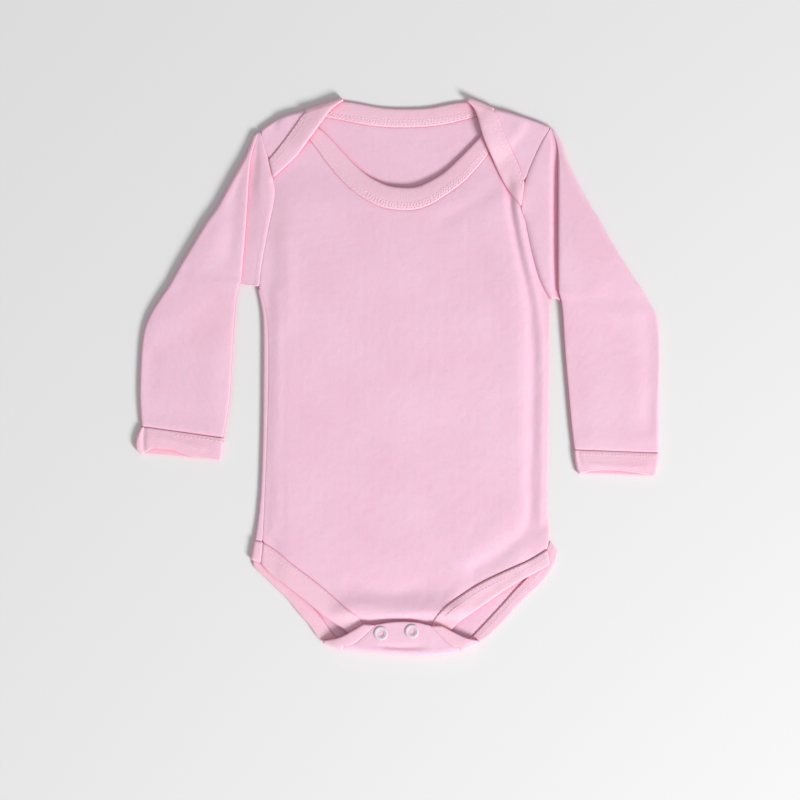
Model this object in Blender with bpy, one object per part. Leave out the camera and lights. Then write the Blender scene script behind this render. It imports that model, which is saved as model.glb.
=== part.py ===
"""A baby's long-sleeved bodysuit, laid flat on its back, as the pieces it is sewn from.

Lengths are in millimetres until a mesh is made. X runs to the right, Y towards the neck and Z up,
as seen from above, and left and right are meant that way too. The cloth rests on Z = 0.
A sheet is given by the middle of its cloth, and a Solidify modifier gives it its wall.
"""

import math

import bmesh
import bpy
import numpy as np

MM = 0.001
WALL = 1.0  # one layer of the body's cloth
BAND = 2.0  # a folded binding
CUFF = 1.6  # a folded cuff
GAP = 0.3  # between pieces that are sewn together or lie on each other
STEPS = 2  # points made from each point of an outline, and steps across a binding
TURN_STEPS = 4  # points round a fold

BACK_LEVEL = WALL / 2
BAND_BACK_LEVEL = BAND / 2 + 0.03
SLEEVE_BACK_LEVEL = WALL / 2 + 0.05
TOUCH_LEVEL = BACK_LEVEL + WALL + GAP  # the front where it lies right on the back

# Outlines of the body's sides, from the underarm down to the leg: where the back rolls over on
# the left, the seam on the front there, and the right edge.
SIDES = [
    # fold_x, fold_y, seam_x, seam_y, right_x, right_y
    (-102.0, 62.4, -100.6, 64.0, 103.0, 55.0),
    (-98.9, 47.0, -96.4, 48.0, 102.5, 42.0),
    (-98.0, 32.0, -94.6, 33.0, 102.2, 26.0),
    (-98.0, 10.0, -94.1, 12.0, 102.1, 6.0),
    (-98.1, -12.0, -94.4, -10.0, 101.9, -14.0),
    (-98.4, -34.0, -94.9, -32.0, 101.6, -35.0),
    (-98.9, -56.0, -95.7, -54.0, 101.3, -56.0),
    (-99.8, -78.0, -96.7, -78.0, 100.9, -77.0),
    (-101.6, -98.0, -97.5, -98.0, 101.0, -97.0),
    (-104.0, -113.6, -98.4, -114.6, 102.8, -113.5),
]

# Shoulder folds from the armhole to the neck binding, and the lap's seam with that binding.
LEFT_LAP = [
    # fold_x, fold_y, seam_x, seam_y
    (-100.1, 173.4, -93.5, 153.2),
    (-93.0, 178.6, -87.0, 162.0),
    (-86.0, 182.6, -80.2, 170.8),
    (-77.5, 185.6, -74.4, 178.8),
    (-69.3, 187.6, -72.8, 185.0),
]
RIGHT_LAP = [
    # fold_x, fold_y, seam_x, seam_y
    (103.2, 175.8, 84.3, 137.0),
    (94.5, 179.6, 81.2, 148.6),
    (85.0, 182.6, 76.4, 159.4),
    (74.5, 186.2, 71.0, 171.0),
    (64.2, 188.8, 68.8, 185.2),
]

# Neck bindings: the edge sewn to the panel and the free edge, a row for each section.
FRONT_NECK = [
    # seam_x, seam_y, free_x, free_y
    (-77.5, 178.2, -69.2, 182.6),
    (-64.4, 165.2, -55.5, 172.5),
    (-52.5, 149.0, -44.5, 161.0),
    (-41.3, 136.5, -34.5, 150.3),
    (-31.5, 128.3, -24.5, 141.8),
    (-18.0, 120.6, -13.5, 136.0),
    (-6.0, 117.8, -5.0, 133.9),
    (7.5, 117.6, 7.8, 133.6),
    (19.5, 121.4, 17.2, 137.2),
    (31.5, 129.0, 28.0, 143.6),
    (43.0, 137.6, 37.5, 152.2),
    (52.0, 147.3, 45.5, 160.3),
    (60.0, 157.0, 52.5, 167.6),
    (68.5, 167.5, 61.0, 176.6),
    (76.0, 176.6, 68.5, 183.4),
]
BACK_NECK = [
    # seam_x, seam_y, free_x, free_y: the first and last rows lie on the shoulder folds
    (-69.3, 187.6, -42.2, 196.4),
    (-47.0, 181.6, -30.0, 192.4),
    (-21.0, 176.8, -14.5, 189.6),
    (1.4, 175.7, 1.4, 188.8),
    (25.0, 177.2, 18.5, 189.6),
    (48.0, 182.4, 34.0, 192.6),
    (64.2, 188.8, 45.5, 196.4),
]
LEFT_LAP_BAND = [
    # seam_x, seam_y, free_x, free_y, from the armhole to the shoulder fold
    (-93.5, 153.2, -90.5, 139.8),
    (-87.0, 162.0, -75.6, 154.0),
    (-80.2, 170.8, -67.9, 163.8),
    (-74.4, 178.8, -59.6, 175.0),
    (-71.0, 183.8, -50.0, 188.0),
]
RIGHT_LAP_BAND = [
    # seam_x, seam_y, free_x, free_y, from the armhole to the shoulder fold
    (84.3, 137.0, 81.8, 119.6),
    (81.2, 148.6, 70.7, 135.8),
    (76.4, 159.4, 62.4, 153.6),
    (71.0, 171.0, 55.8, 168.6),
    (66.2, 183.6, 50.6, 186.6),
]

# Leg bindings, from the side down to the crotch: the edge sewn to the panel and the free edge.
FRONT_LEG_LEFT = [
    # seam_x, seam_y, free_x, free_y
    (-98.4, -114.6, -99.8, -129.8),
    (-88.2, -121.1, -93.0, -137.6),
    (-78.4, -129.5, -84.7, -143.5),
    (-66.5, -138.4, -73.5, -151.9),
    (-54.5, -148.0, -62.5, -161.0),
    (-42.7, -158.6, -52.0, -169.4),
    (-33.0, -166.0, -42.0, -175.6),
    (-27.0, -174.0, -36.0, -181.5),
    (-25.0, -187.0, -34.0, -187.0),
]
FRONT_LEG_RIGHT = [
    # seam_x, seam_y, free_x, free_y
    (101.4, -119.6, 103.2, -130.4),
    (90.5, -126.4, 93.0, -136.4),
    (78.8, -131.8, 82.0, -142.2),
    (65.5, -137.8, 70.0, -149.6),
    (52.0, -144.6, 59.0, -157.2),
    (40.6, -151.9, 48.0, -164.8),
    (28.6, -160.6, 38.0, -172.0),
    (21.0, -170.0, 32.4, -179.0),
    (19.0, -187.0, 30.0, -187.0),
]
BACK_LEG_LEFT = [
    # seam_x, seam_y, free_x, free_y: the first and last rows are folds
    (-104.0, -113.6, -106.4, -127.6),
    (-96.0, -124.5, -104.6, -132.4),
    (-89.0, -133.0, -97.0, -139.8),
    (-80.5, -141.2, -88.5, -148.0),
    (-71.5, -149.8, -80.0, -156.3),
    (-64.0, -159.0, -73.3, -165.0),
    (-57.0, -168.0, -66.0, -173.2),
    (-49.5, -179.0, -60.0, -181.8),
    (-42.0, -190.3, -56.5, -185.4),
]
BACK_LEG_RIGHT = [
    # seam_x, seam_y, free_x, free_y: the last row is a fold
    (102.8, -113.5, 108.5, -121.8),
    (97.5, -125.0, 106.6, -130.2),
    (88.5, -137.5, 99.0, -142.0),
    (78.5, -148.3, 89.2, -151.2),
    (69.5, -158.6, 80.5, -159.8),
    (61.5, -167.3, 72.8, -168.6),
    (54.0, -175.3, 65.0, -176.4),
    (47.4, -182.2, 59.4, -181.4),
    (40.0, -191.6, 54.2, -185.6),
]
CROTCH_FOLD = [
    # x, y, with the first and last across the leg bindings
    (-56.5, -185.4),
    (-42.0, -190.3),
    (-22.0, -192.6),
    (-2.0, -194.0),
    (19.0, -194.9),
    (40.0, -191.6),
    (54.2, -185.6),
]
FLAP_LEFT = [
    # seam_x, seam_y, free_x, free_y, from the crotch fold to the flap's hem
    (-34.5, -186.0, -45.2, -181.6),
    (-26.5, -179.6, -36.0, -177.0),
    (-19.5, -172.6, -27.5, -172.0),
]
FLAP_RIGHT = [
    # seam_x, seam_y, free_x, free_y, from the crotch fold to the flap's hem
    (33.0, -186.6, 44.0, -181.6),
    (25.5, -179.8, 35.0, -177.4),
    (18.8, -173.2, 27.0, -173.2),
]
FLAP_HEM = [(-19.5, -172.6), (-10.0, -170.8), (0.0, -170.2), (10.0, -170.8), (18.8, -173.2)]
CROTCH_TOP = 6  # where a front leg binding's rows reach the narrow crotch

# Sleeves, a row for each section from the shoulder to the wrist. The section starts at the front
# seam, meets the pleat, turns over at the outer fold and ends at the back seam.
SLEEVE_COLUMNS = "seam_x seam_y pleat_x pleat_y fold_x fold_y back_x back_y depth cap low top"
ARMHOLE_ROWS = 10  # of a sleeve's rows, those that are sewn to the body
LEFT_SLEEVE = [
    (-100.4, 172.8, -101.6, 171.9, -104.6, 169.8, -100.6, 172.6, 0.0, 3.1, 3.1, 3.2),
    (-96.6, 161.2, -105.4, 160.0, -108.8, 159.6, -98.9, 160.0, 0.0, 3.6, 2.9, 4.0),
    (-94.0, 153.0, -107.6, 151.5, -112.6, 151.6, -97.6, 150.0, 0.8, 3.8, 2.3, 4.4),
    (-91.0, 139.6, -109.0, 139.0, -118.6, 141.4, -96.4, 138.0, 3.0, 3.8, 1.9, 4.5),
    (-89.4, 130.5, -109.6, 128.5, -124.2, 131.2, -95.8, 126.0, 4.0, 3.6, 1.9, 4.5),
    (-90.9, 119.5, -110.4, 116.5, -130.8, 119.0, -95.8, 114.0, 4.5, 3.3, 1.9, 4.5),
    (-93.6, 107.5, -111.2, 104.5, -138.0, 109.2, -96.4, 102.0, 4.5, 3.0, 1.9, 4.5),
    (-96.5, 92.5, -112.3, 91.5, -145.8, 96.4, -97.6, 90.0, 4.5, 2.8, 1.9, 4.5),
    (-99.3, 76.5, -113.4, 78.5, -152.0, 86.2, -99.4, 76.0, 4.0, 2.6, 1.9, 4.5),
    (-100.6, 64.0, -114.0, 70.6, -157.4, 77.0, -101.8, 64.0, 2.0, 2.3, 1.9, 4.5),
    (-108.4, 65.2, -114.4, 66.9, -161.0, 70.4, -108.4, 65.2, 0.6, 2.1, 1.9, 4.3),
    (-114.4, 65.6, -115.4, 65.4, -164.6, 63.8, -114.4, 65.6, 0.0, 1.9, 1.8, 3.8),
    (-116.4, 56.5, -117.4, 56.4, -170.2, 55.8, -116.4, 56.5, 0.0, 1.8, 1.8, 3.4),
    (-117.6, 42.0, -118.6, 42.0, -178.4, 42.0, -117.6, 42.0, 0.0, 1.8, 1.8, 3.2),
    (-118.6, 28.0, -119.6, 28.0, -182.6, 27.5, -118.6, 28.0, 0.0, 1.8, 1.8, 3.2),
    (-119.8, 6.0, -120.8, 6.0, -184.2, 5.0, -119.8, 6.0, 0.0, 1.8, 1.8, 3.2),
    (-121.4, -17.0, -122.4, -17.0, -184.6, -14.0, -121.4, -17.0, 0.0, 1.8, 1.8, 3.2),
    (-125.6, -42.2, -126.6, -42.0, -183.2, -34.0, -125.6, -42.2, 0.0, 1.8, 1.8, 3.2),
]
RIGHT_SLEEVE = [
    (103.5, 175.2, 104.3, 174.5, 106.8, 172.4, 103.5, 175.0, 0.0, 3.1, 3.1, 3.2),
    (97.3, 166.0, 108.2, 163.4, 111.8, 163.2, 100.6, 164.0, 0.0, 3.6, 2.9, 4.0),
    (90.2, 151.5, 109.6, 151.6, 115.2, 152.4, 98.0, 150.0, 0.8, 3.8, 2.3, 4.4),
    (84.9, 136.8, 109.9, 138.0, 121.6, 138.6, 96.2, 136.0, 3.0, 3.8, 1.9, 4.5),
    (82.4, 119.4, 109.9, 120.0, 131.6, 120.2, 95.2, 118.0, 4.0, 3.8, 1.9, 4.5),
    (85.4, 109.6, 109.9, 108.5, 138.4, 109.6, 95.2, 106.0, 4.0, 3.8, 1.9, 4.5),
    (88.2, 96.0, 109.9, 95.5, 145.4, 96.6, 96.0, 93.0, 4.0, 3.8, 1.9, 4.5),
    (91.9, 81.0, 109.9, 82.0, 152.6, 84.4, 97.8, 80.0, 4.0, 3.8, 1.9, 4.5),
    (96.2, 67.9, 109.9, 70.4, 159.6, 73.6, 100.2, 67.0, 3.0, 3.6, 1.9, 4.5),
    (103.0, 55.0, 109.9, 60.5, 165.2, 65.2, 103.2, 55.0, 1.2, 3.0, 1.9, 4.5),
    (107.4, 55.6, 110.6, 57.0, 168.6, 60.0, 107.4, 55.6, 0.4, 2.4, 1.9, 4.2),
    (110.6, 52.8, 111.6, 52.9, 172.2, 53.4, 110.6, 52.8, 0.0, 1.8, 1.8, 3.7),
    (111.6, 43.0, 112.6, 43.0, 178.2, 43.0, 111.6, 43.0, 0.0, 1.8, 1.8, 3.4),
    (112.4, 29.0, 113.4, 29.0, 180.2, 29.0, 112.4, 29.0, 0.0, 1.8, 1.8, 3.2),
    (114.0, 8.5, 115.0, 8.5, 180.4, 8.5, 114.0, 8.5, 0.0, 1.8, 1.8, 3.2),
    (116.2, -16.8, 117.2, -16.8, 179.4, -16.0, 116.2, -16.8, 0.0, 1.8, 1.8, 3.2),
    (117.8, -34.0, 118.8, -34.0, 179.2, -36.0, 117.8, -34.0, 0.0, 1.8, 1.8, 3.2),
    (119.8, -50.4, 120.8, -50.4, 179.2, -52.6, 119.8, -50.4, 0.0, 1.8, 1.8, 3.2),
]

# Cuffs, a row for each section from the sleeve to the mouth.
LEFT_CUFF = [
    # inner_x, inner_y, outer_x, outer_y
    (-125.4, -42.8, -183.6, -34.6),
    (-126.0, -48.0, -187.0, -42.0),
    (-126.6, -53.0, -187.4, -49.0),
    (-127.0, -58.0, -183.6, -53.0),
]
RIGHT_CUFF = [
    # inner_x, inner_y, outer_x, outer_y
    (119.6, -51.0, 179.4, -53.2),
    (120.2, -56.5, 179.0, -58.6),
    (121.2, -62.0, 178.2, -64.0),
    (122.6, -67.2, 176.8, -69.0),
]
CUFF_LEVEL = 3.3  # middle of a cuff's front layer
CUFF_BACK_LEVEL = CUFF / 2 + 0.1
CUFF_ACROSS = 7
CUFF_MOUTH_STEP = 3.0  # the back layer shows below the front one by this

# Ring snaps: places on the crotch flap, and the levels of the stack that they hold together.
SNAPS = [("left", -15.4, -178.5), ("right", 6.3, -177.1)]
SNAP_RADIUS = 4.9
RING_HOLE = 2.7
RING_HEIGHT = 0.8
SOCKET_RADIUS = 4.3
SOCKET_HEIGHT = 1.4
SOCKET_HOLE = 1.9
STUD_FLANGE = 0.5
STUD_RADIUS = 1.5
STUD_HEIGHT = 1.8
POST_HEIGHT = 0.7
POST_BOTTOM = WALL + GAP
HEM_LEVEL = POST_BOTTOM + POST_HEIGHT + GAP + WALL / 2
STUD_BOTTOM = HEM_LEVEL + WALL / 2 + GAP
SOCKET_BOTTOM = STUD_BOTTOM + STUD_FLANGE + GAP
FLAP_LEVEL = SOCKET_BOTTOM + SOCKET_HEIGHT + GAP + WALL / 2
RING_BOTTOM = FLAP_LEVEL + WALL / 2 + GAP
SNAP_SEGMENTS = 16

COLOURS = {
    # name: linear red, green, blue, roughness
    "body cloth": (0.84, 0.53, 0.66, 0.9),
    "sleeve cloth": (0.84, 0.53, 0.66, 0.9),
    "binding": (0.80, 0.49, 0.60, 0.9),
    "snap": (0.88, 0.84, 0.86, 0.4),
}


# Curves and levels ------------------------------------------------------------------------------


def curve(points, steps=STEPS):
    """A smooth line through the points, with this many steps between each two."""
    points = np.array(points, float)
    ends = np.vstack([2 * points[0] - points[1], points, 2 * points[-1] - points[-2]])
    line = []
    for a, b, c, d in zip(ends, ends[1:], ends[2:], ends[3:]):
        for t in np.arange(steps) / steps:
            line.append(
                b
                + 0.5 * t * (c - a)
                + t * t * (a - 2.5 * b + 2 * c - 0.5 * d)
                + 0.5 * t**3 * (3 * b - 3 * c + d - a)
            )
    return np.array(line + [points[-1]])


def columns(table, first, count=2):
    return [row[first : first + count] for row in table]


def normals(line):
    """Unit vectors to the left of a line in the plane, at each of its points."""
    along = np.gradient(line, axis=0)
    along /= np.linalg.norm(along, axis=1)[:, None]
    return np.stack([-along[:, 1], along[:, 0]], axis=1)


def inset(line, distance):
    """The line moved to its left."""
    return line + distance * normals(line)


def ease(t):
    t = np.clip(t, 0.0, 1.0)
    return t * t * (3 - 2 * t)


def middle(table):
    """The line down the middle of a binding."""
    return curve([((a + c) / 2, (b + d) / 2) for a, b, c, d in table], 8)


NECK_MIDDLE = middle(FRONT_NECK)
LEG_MIDDLES = np.vstack([middle(FRONT_LEG_LEFT), middle(FRONT_LEG_RIGHT)])


def beside(line, x, y, reach, fade):
    """1 within this reach of the line, falling to 0 over the fade."""
    return 1 - ease((np.min(np.hypot(line[:, 0] - x, line[:, 1] - y)) - reach) / fade)


def front_level(x, y):
    """Middle of the front panel: it lies on the back, and is a little full inside its edges."""
    off_right_seam = ease((101 - x) / 14)
    below_shoulders = ease((165 - y) / 45)
    inside = ease((90 - abs(x)) / 20) * ease((150 - y) / 30)
    roll = 1.8 * math.exp(-(((y + 158) / 8) ** 2)) * ease((54 - abs(x)) / 18)
    level = TOUCH_LEVEL + 0.7 * off_right_seam * below_shoulders + 0.8 * inside + roll
    to_hem = ease((-y - 162) / 7)
    level += (HEM_LEVEL - level) * to_hem
    over_back_binding = (HEM_LEVEL - TOUCH_LEVEL) * beside(LEG_MIDDLES, x, y, 13, 12)
    return max(level, TOUCH_LEVEL + over_back_binding)


def front_band_level(x, y):
    return front_level(x, y) + (BAND - WALL) / 2


def lap_level(x, y):
    """Middle of a shoulder lap, which lies on the front and on the front's neck binding."""
    over_binding = (BAND - WALL + 0.1) * beside(NECK_MIDDLE, x, y, 11, 6)
    return front_level(x, y) + WALL + GAP + over_binding


def lap_band_level(x, y):
    return lap_level(x, y) + (BAND - WALL) / 2


def flap_level(x, y):
    """Middle of the crotch flap, held up by the snaps and the front's bindings."""
    return 3.0 + (FLAP_LEVEL - 3.0) * ease((60 - abs(x)) / 16)


def flap_band_level(x, y):
    return flap_level(x, y) + (BAND - WALL) / 2


def back_level(x, y):
    return BACK_LEVEL


def back_band_level(x, y):
    return BAND_BACK_LEVEL


def raised(line, level):
    """A line in the plane lifted to a level, which is a function of place."""
    return np.array([(x, y, level(x, y)) for x, y in line])


def across(row, level):
    """A binding's section from its seam to its free edge."""
    seam, free = np.array(row[:2]), np.array(row[2:])
    return raised([seam + (free - seam) * t for t in np.linspace(0, 1, STEPS + 1)], level)


def ends(section):
    """A section's seam and free edge in the plane, as a row of a binding's table."""
    return (*section[0][:2], *section[-1][:2])


def turn(fold, low, high):
    """Rows round a fold from the level below to the level above.

    The fold is the cloth's outermost line with the direction that it faces.
    """
    line, outward = fold
    rows = []
    radii = [(high(x, y) - low(x, y)) / 2 for x, y in line]
    for angle in np.linspace(-math.pi / 2, math.pi / 2, TURN_STEPS + 1):
        row = []
        for (x, y), (nx, ny), r in zip(line, outward, radii):
            out = r * math.cos(angle) - r - WALL / 2
            row.append((x + nx * out, y + ny * out, low(x, y) + r * (1 + math.sin(angle))))
        rows.append(row)
    return np.array(rows)


def patch(bottom, top, left, right):
    """The rows of a sheet with these four edges: left and right run upwards."""
    u = np.linspace(0, 1, len(bottom))[None, :, None]
    v = np.linspace(0, 1, len(left))[:, None, None]
    sides = (1 - u) * left[:, None] + u * right[:, None]
    ends = (1 - v) * bottom[None] + v * top[None]
    low = (1 - u) * bottom[0] + u * bottom[-1]
    high = (1 - u) * top[0] + u * top[-1]
    return sides + ends - (1 - v) * low - v * high


def between(first, last, steps):
    """Rows from one line to another, both included."""
    return np.array([first + (last - first) * t for t in np.linspace(0, 1, steps + 1)])


def uneven(grid):
    """The slight unevenness of laid cloth, which also keeps its level facets apart."""
    row, column = np.indices(grid.shape[:2])
    return 0.03 * (1 + np.sin(1.3 * row) * np.sin(1.7 * column))


# Meshes and materials ---------------------------------------------------------------------------


def clear_scene():
    for obj in list(bpy.data.objects):
        bpy.data.objects.remove(obj)


def material(name):
    found = bpy.data.materials.get(name)
    if found:
        return found
    made = bpy.data.materials.new(name)
    made.use_nodes = True
    red, green, blue, roughness = COLOURS[name]
    shader = made.node_tree.nodes["Principled BSDF"]
    shader.inputs["Base Color"].default_value = (red, green, blue, 1)
    shader.inputs["Roughness"].default_value = roughness
    return made


def add_object(name, mesh, finish):
    mesh.materials.append(material(finish))
    mesh.shade_smooth()
    mesh.set_sharp_from_angle(angle=math.radians(40))
    obj = bpy.data.objects.new(name, mesh)
    bpy.context.scene.collection.objects.link(obj)
    return obj


def add_sheet(name, grids, wall, finish, closed=False):
    """A piece of cloth from grids of points, joined where they share points."""
    bm = bmesh.new()
    for grid in grids:
        verts = [[bm.verts.new(point * MM) for point in row] for row in np.array(grid)]
        for low, high in zip(verts, verts[1:]):
            if closed:
                low, high = [*low, low[0]], [*high, high[0]]
            for a, b, c, d in zip(low, low[1:], high[1:], high):
                bm.faces.new((a, b, c, d))
    bmesh.ops.remove_doubles(bm, verts=bm.verts, dist=1e-5)
    bmesh.ops.recalc_face_normals(bm, faces=bm.faces)
    mesh = bpy.data.meshes.new(name)
    bm.to_mesh(mesh)
    bm.free()
    obj = add_object(name, mesh, finish)
    thick = obj.modifiers.new("Cloth wall", "SOLIDIFY")
    thick.thickness = wall * MM
    thick.offset = 0
    thick.use_even_offset = True
    return obj


def add_turned(name, profile, place):
    """A round piece from its half section, (radius, height) pairs, standing at a place."""
    bm = bmesh.new()
    loop = [bm.verts.new((r * MM, 0, h * MM)) for r, h in profile]
    edges = [bm.edges.new((a, b)) for a, b in zip(loop, loop[1:] + loop[:1])]
    if min(r for r, _ in profile) == 0:
        bm.edges.remove(edges.pop())
    bmesh.ops.spin(
        bm,
        geom=list(bm.verts) + list(bm.edges),
        axis=(0, 0, 1),
        cent=(0, 0, 0),
        angle=math.tau,
        steps=SNAP_SEGMENTS,
    )
    bmesh.ops.remove_doubles(bm, verts=bm.verts, dist=1e-6)
    bmesh.ops.recalc_face_normals(bm, faces=bm.faces)
    mesh = bpy.data.meshes.new(name)
    bm.to_mesh(mesh)
    bm.free()
    obj = add_object(name, mesh, "snap")
    obj.location = [value * MM for value in place]
    return obj


# The body ---------------------------------------------------------------------------------------


def armhole(table, first):
    """The armhole's line from the underarm up to the shoulder."""
    return curve(columns(table[:ARMHOLE_ROWS], first)[::-1])


def fold_line(points, side, panel):
    """Folds of a panel and of the bindings beyond its ends, along one line through the points.

    It gives the line with the direction it faces, and the panel's part, kept off the bindings.
    """
    line = curve(points)
    outward = side * normals(line)
    first, last = panel.start * STEPS, panel.stop * STEPS
    own = line[first : last + 1].copy()
    if panel.start > 0:
        step = line[first + 1] - line[first]
        own[0] += 2 * GAP * step / np.linalg.norm(step)
    if panel.stop < len(points) - 1:
        step = line[last - 1] - line[last]
        own[-1] += 2 * GAP * step / np.linalg.norm(step)
    return (line, outward), (own, outward[first : last + 1])


def part_of(fold, first, last):
    """Part of a fold, from one station to another."""
    return tuple(array[first * STEPS : last * STEPS + 1] for array in fold)


SIDE_FOLDS = fold_line([BACK_LEG_LEFT[0][2:], *columns(SIDES, 0)[::-1]], 1, slice(1, 10))
LEFT_FOLDS = fold_line([*columns(LEFT_LAP, 0), BACK_NECK[0][2:]], 1, slice(0, 4))
RIGHT_FOLDS = fold_line([*columns(RIGHT_LAP, 0), BACK_NECK[-1][2:]], -1, slice(0, 4))
CROTCH_FOLDS = fold_line(CROTCH_FOLD, -1, slice(1, 5))


def add_lap(table, fold, sleeve, rows, side):
    """A shoulder lap: the fold, and the cloth from it to the armhole and the neck binding."""
    turned = turn(fold, back_level, lap_level)
    seam = inset(curve(columns(table, 2)), side * GAP)
    arm = inset(armhole(sleeve, 0)[::-1][: rows * STEPS + 1], side * GAP)
    arm[0], arm[-1] = turned[-1][0][:2], seam[0]
    apex = between(turned[-1][-1][:2], seam[-1], rows * STEPS)
    flat = patch(turned[-1][:, :2], seam, arm, apex)
    cloth = np.array([raised(row, lap_level) for row in flat])
    cloth[0] = turned[-1]
    return turned, cloth


def add_back():
    """The back with both laps, the crotch flap and the rolled left side."""
    side_turn = turn(SIDE_FOLDS[1], back_level, front_level)
    side_seam = raised(curve(columns(SIDES, 2)[::-1]), front_level)
    side_seam[0][1] += GAP
    side_seam[-1][1] -= 2 * GAP
    left_arm = inset(armhole(LEFT_SLEEVE, 6), -GAP)
    right_arm = inset(armhole(RIGHT_SLEEVE, 6), GAP)
    right_side = curve(columns(SIDES, 4)[::-1])

    left_turn, left_lap = add_lap(LEFT_LAP, LEFT_FOLDS[1], LEFT_SLEEVE, 2, 1)
    right_turn, right_lap = add_lap(RIGHT_LAP, RIGHT_FOLDS[1], RIGHT_SLEEVE, 3, -1)
    seams = [left_turn[0][-1][:2], *columns(BACK_NECK, 0)[1:-1], right_turn[0][-1][:2]]
    neck = raised(inset(curve(seams, 2 * STEPS), -GAP), back_level)
    top = np.concatenate([left_turn[0], neck[1:-1], right_turn[0][::-1]])

    crotch_turn = turn(CROTCH_FOLDS[1], back_level, flap_level)
    corners = [side_turn[0][0][:2], crotch_turn[0][0][:2], crotch_turn[0][-1][:2]]
    left_leg = [corners[0], *columns(BACK_LEG_LEFT, 0)[1:-1], corners[1]]
    right_leg = [*columns(BACK_LEG_RIGHT, 0)[:-1], corners[2]]
    left_leg = raised(inset(curve(left_leg), GAP), back_level)
    right_leg = raised(inset(curve(right_leg), -GAP), back_level)
    bottom = np.concatenate([left_leg[:-1], crotch_turn[0], right_leg[::-1][1:]])

    fold = crotch_turn[-1][:, :2]
    left_edge = inset(curve([fold[0], *columns(FLAP_LEFT, 0)]), -GAP)
    right_edge = inset(curve([fold[-1], *columns(FLAP_RIGHT, 0)]), GAP)
    left_edge[0], right_edge[0] = fold[0], fold[-1]
    hem = curve(FLAP_HEM)
    hem[0], hem[-1] = left_edge[-1], right_edge[-1]
    flap = np.array([raised(row, flap_level) for row in patch(fold, hem, left_edge, right_edge)])
    flap[0] = crotch_turn[-1]

    left = np.concatenate([side_turn[0], raised(left_arm[1:], back_level)])
    right = np.concatenate([raised(right_side, back_level), raised(right_arm[1:], back_level)])
    right[0] = right_leg[0]
    bottom[0], bottom[-1] = left[0], right[0]
    left[-1], right[-1] = top[0], top[-1]
    main = patch(bottom, top, left, right)
    main[:, :, 2] = BACK_LEVEL
    main[1:-1, 1:-1, 2] += uneven(main[1:-1, 1:-1])
    roll = np.concatenate([side_turn, side_seam[None]])
    laps = [left_turn, left_lap, right_turn, right_lap]
    add_sheet("back_panel", [main, roll, *laps, crotch_turn, flap], WALL, "body cloth")


def add_front():
    """The front, under the laps at the shoulders and under the flap at the crotch."""
    corner_left, corner_right = (-98.6, 168.6), (99.6, 170.4)
    left_side, right_side = curve(columns(SIDES, 2)[::-1]), curve(columns(SIDES, 4)[::-1])
    left = inset(np.vstack([left_side[:-1], armhole(LEFT_SLEEVE, 0)]), -GAP)
    right = inset(np.vstack([right_side[:-1], armhole(RIGHT_SLEEVE, 0)]), GAP)
    shoulder_left = [corner_left, (-92.0, 173.0), (-85.0, 176.4), FRONT_NECK[0][:2]]
    shoulder_right = [FRONT_NECK[-1][:2], (83.5, 176.6), (92.0, 174.4), corner_right]
    neck = inset(curve(columns(FRONT_NECK, 0)), -GAP)
    top = np.concatenate([curve(shoulder_left)[:-1], neck, curve(shoulder_right)[1:]])
    left_leg = inset(curve(columns(FRONT_LEG_LEFT, 0)), GAP)
    right_leg = inset(curve(columns(FRONT_LEG_RIGHT, 0)), -GAP)
    split = CROTCH_TOP * STEPS
    cross = between(left_leg[split], right_leg[split], 8 * STEPS)
    hem = between(left_leg[-1], right_leg[-1], 8 * STEPS)
    crotch = patch(cross, hem, left_leg[split:], right_leg[split:])
    bottom = np.concatenate([left_leg[:split], cross, right_leg[:split][::-1]])
    left[0], right[0] = bottom[0], bottom[-1]
    left[-1], right[-1] = top[0], top[-1]
    grids = []
    for flat in (patch(bottom, top, left, right), crotch):
        grids.append([raised(row, front_level) for row in flat])
    add_sheet("front_panel", grids, WALL, "body cloth")


def add_neck_bindings():
    front = [across(row, front_band_level) for row in curve(FRONT_NECK)]
    add_sheet("front_neck_binding", [front], BAND, "binding")

    turns = []
    rows = []
    for table, fold in ((LEFT_LAP_BAND, LEFT_FOLDS[0]), (RIGHT_LAP_BAND, RIGHT_FOLDS[0])):
        turned = turn(part_of(fold, 4, 5), back_band_level, lap_band_level)
        lap = [across(row, lap_band_level) for row in curve([*table, ends(turned[-1])])]
        rows.append([*lap[:-1], *turned[::-1]])
        turns.append(ends(turned[0]))
    back = curve([turns[0], *BACK_NECK[1:-1], turns[1]], 2 * STEPS)[1:-1]
    back = [across(row, back_band_level) for row in back]
    add_sheet("back_neck_binding", [[*rows[0], *back, *rows[1][::-1]]], BAND, "binding")


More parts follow.
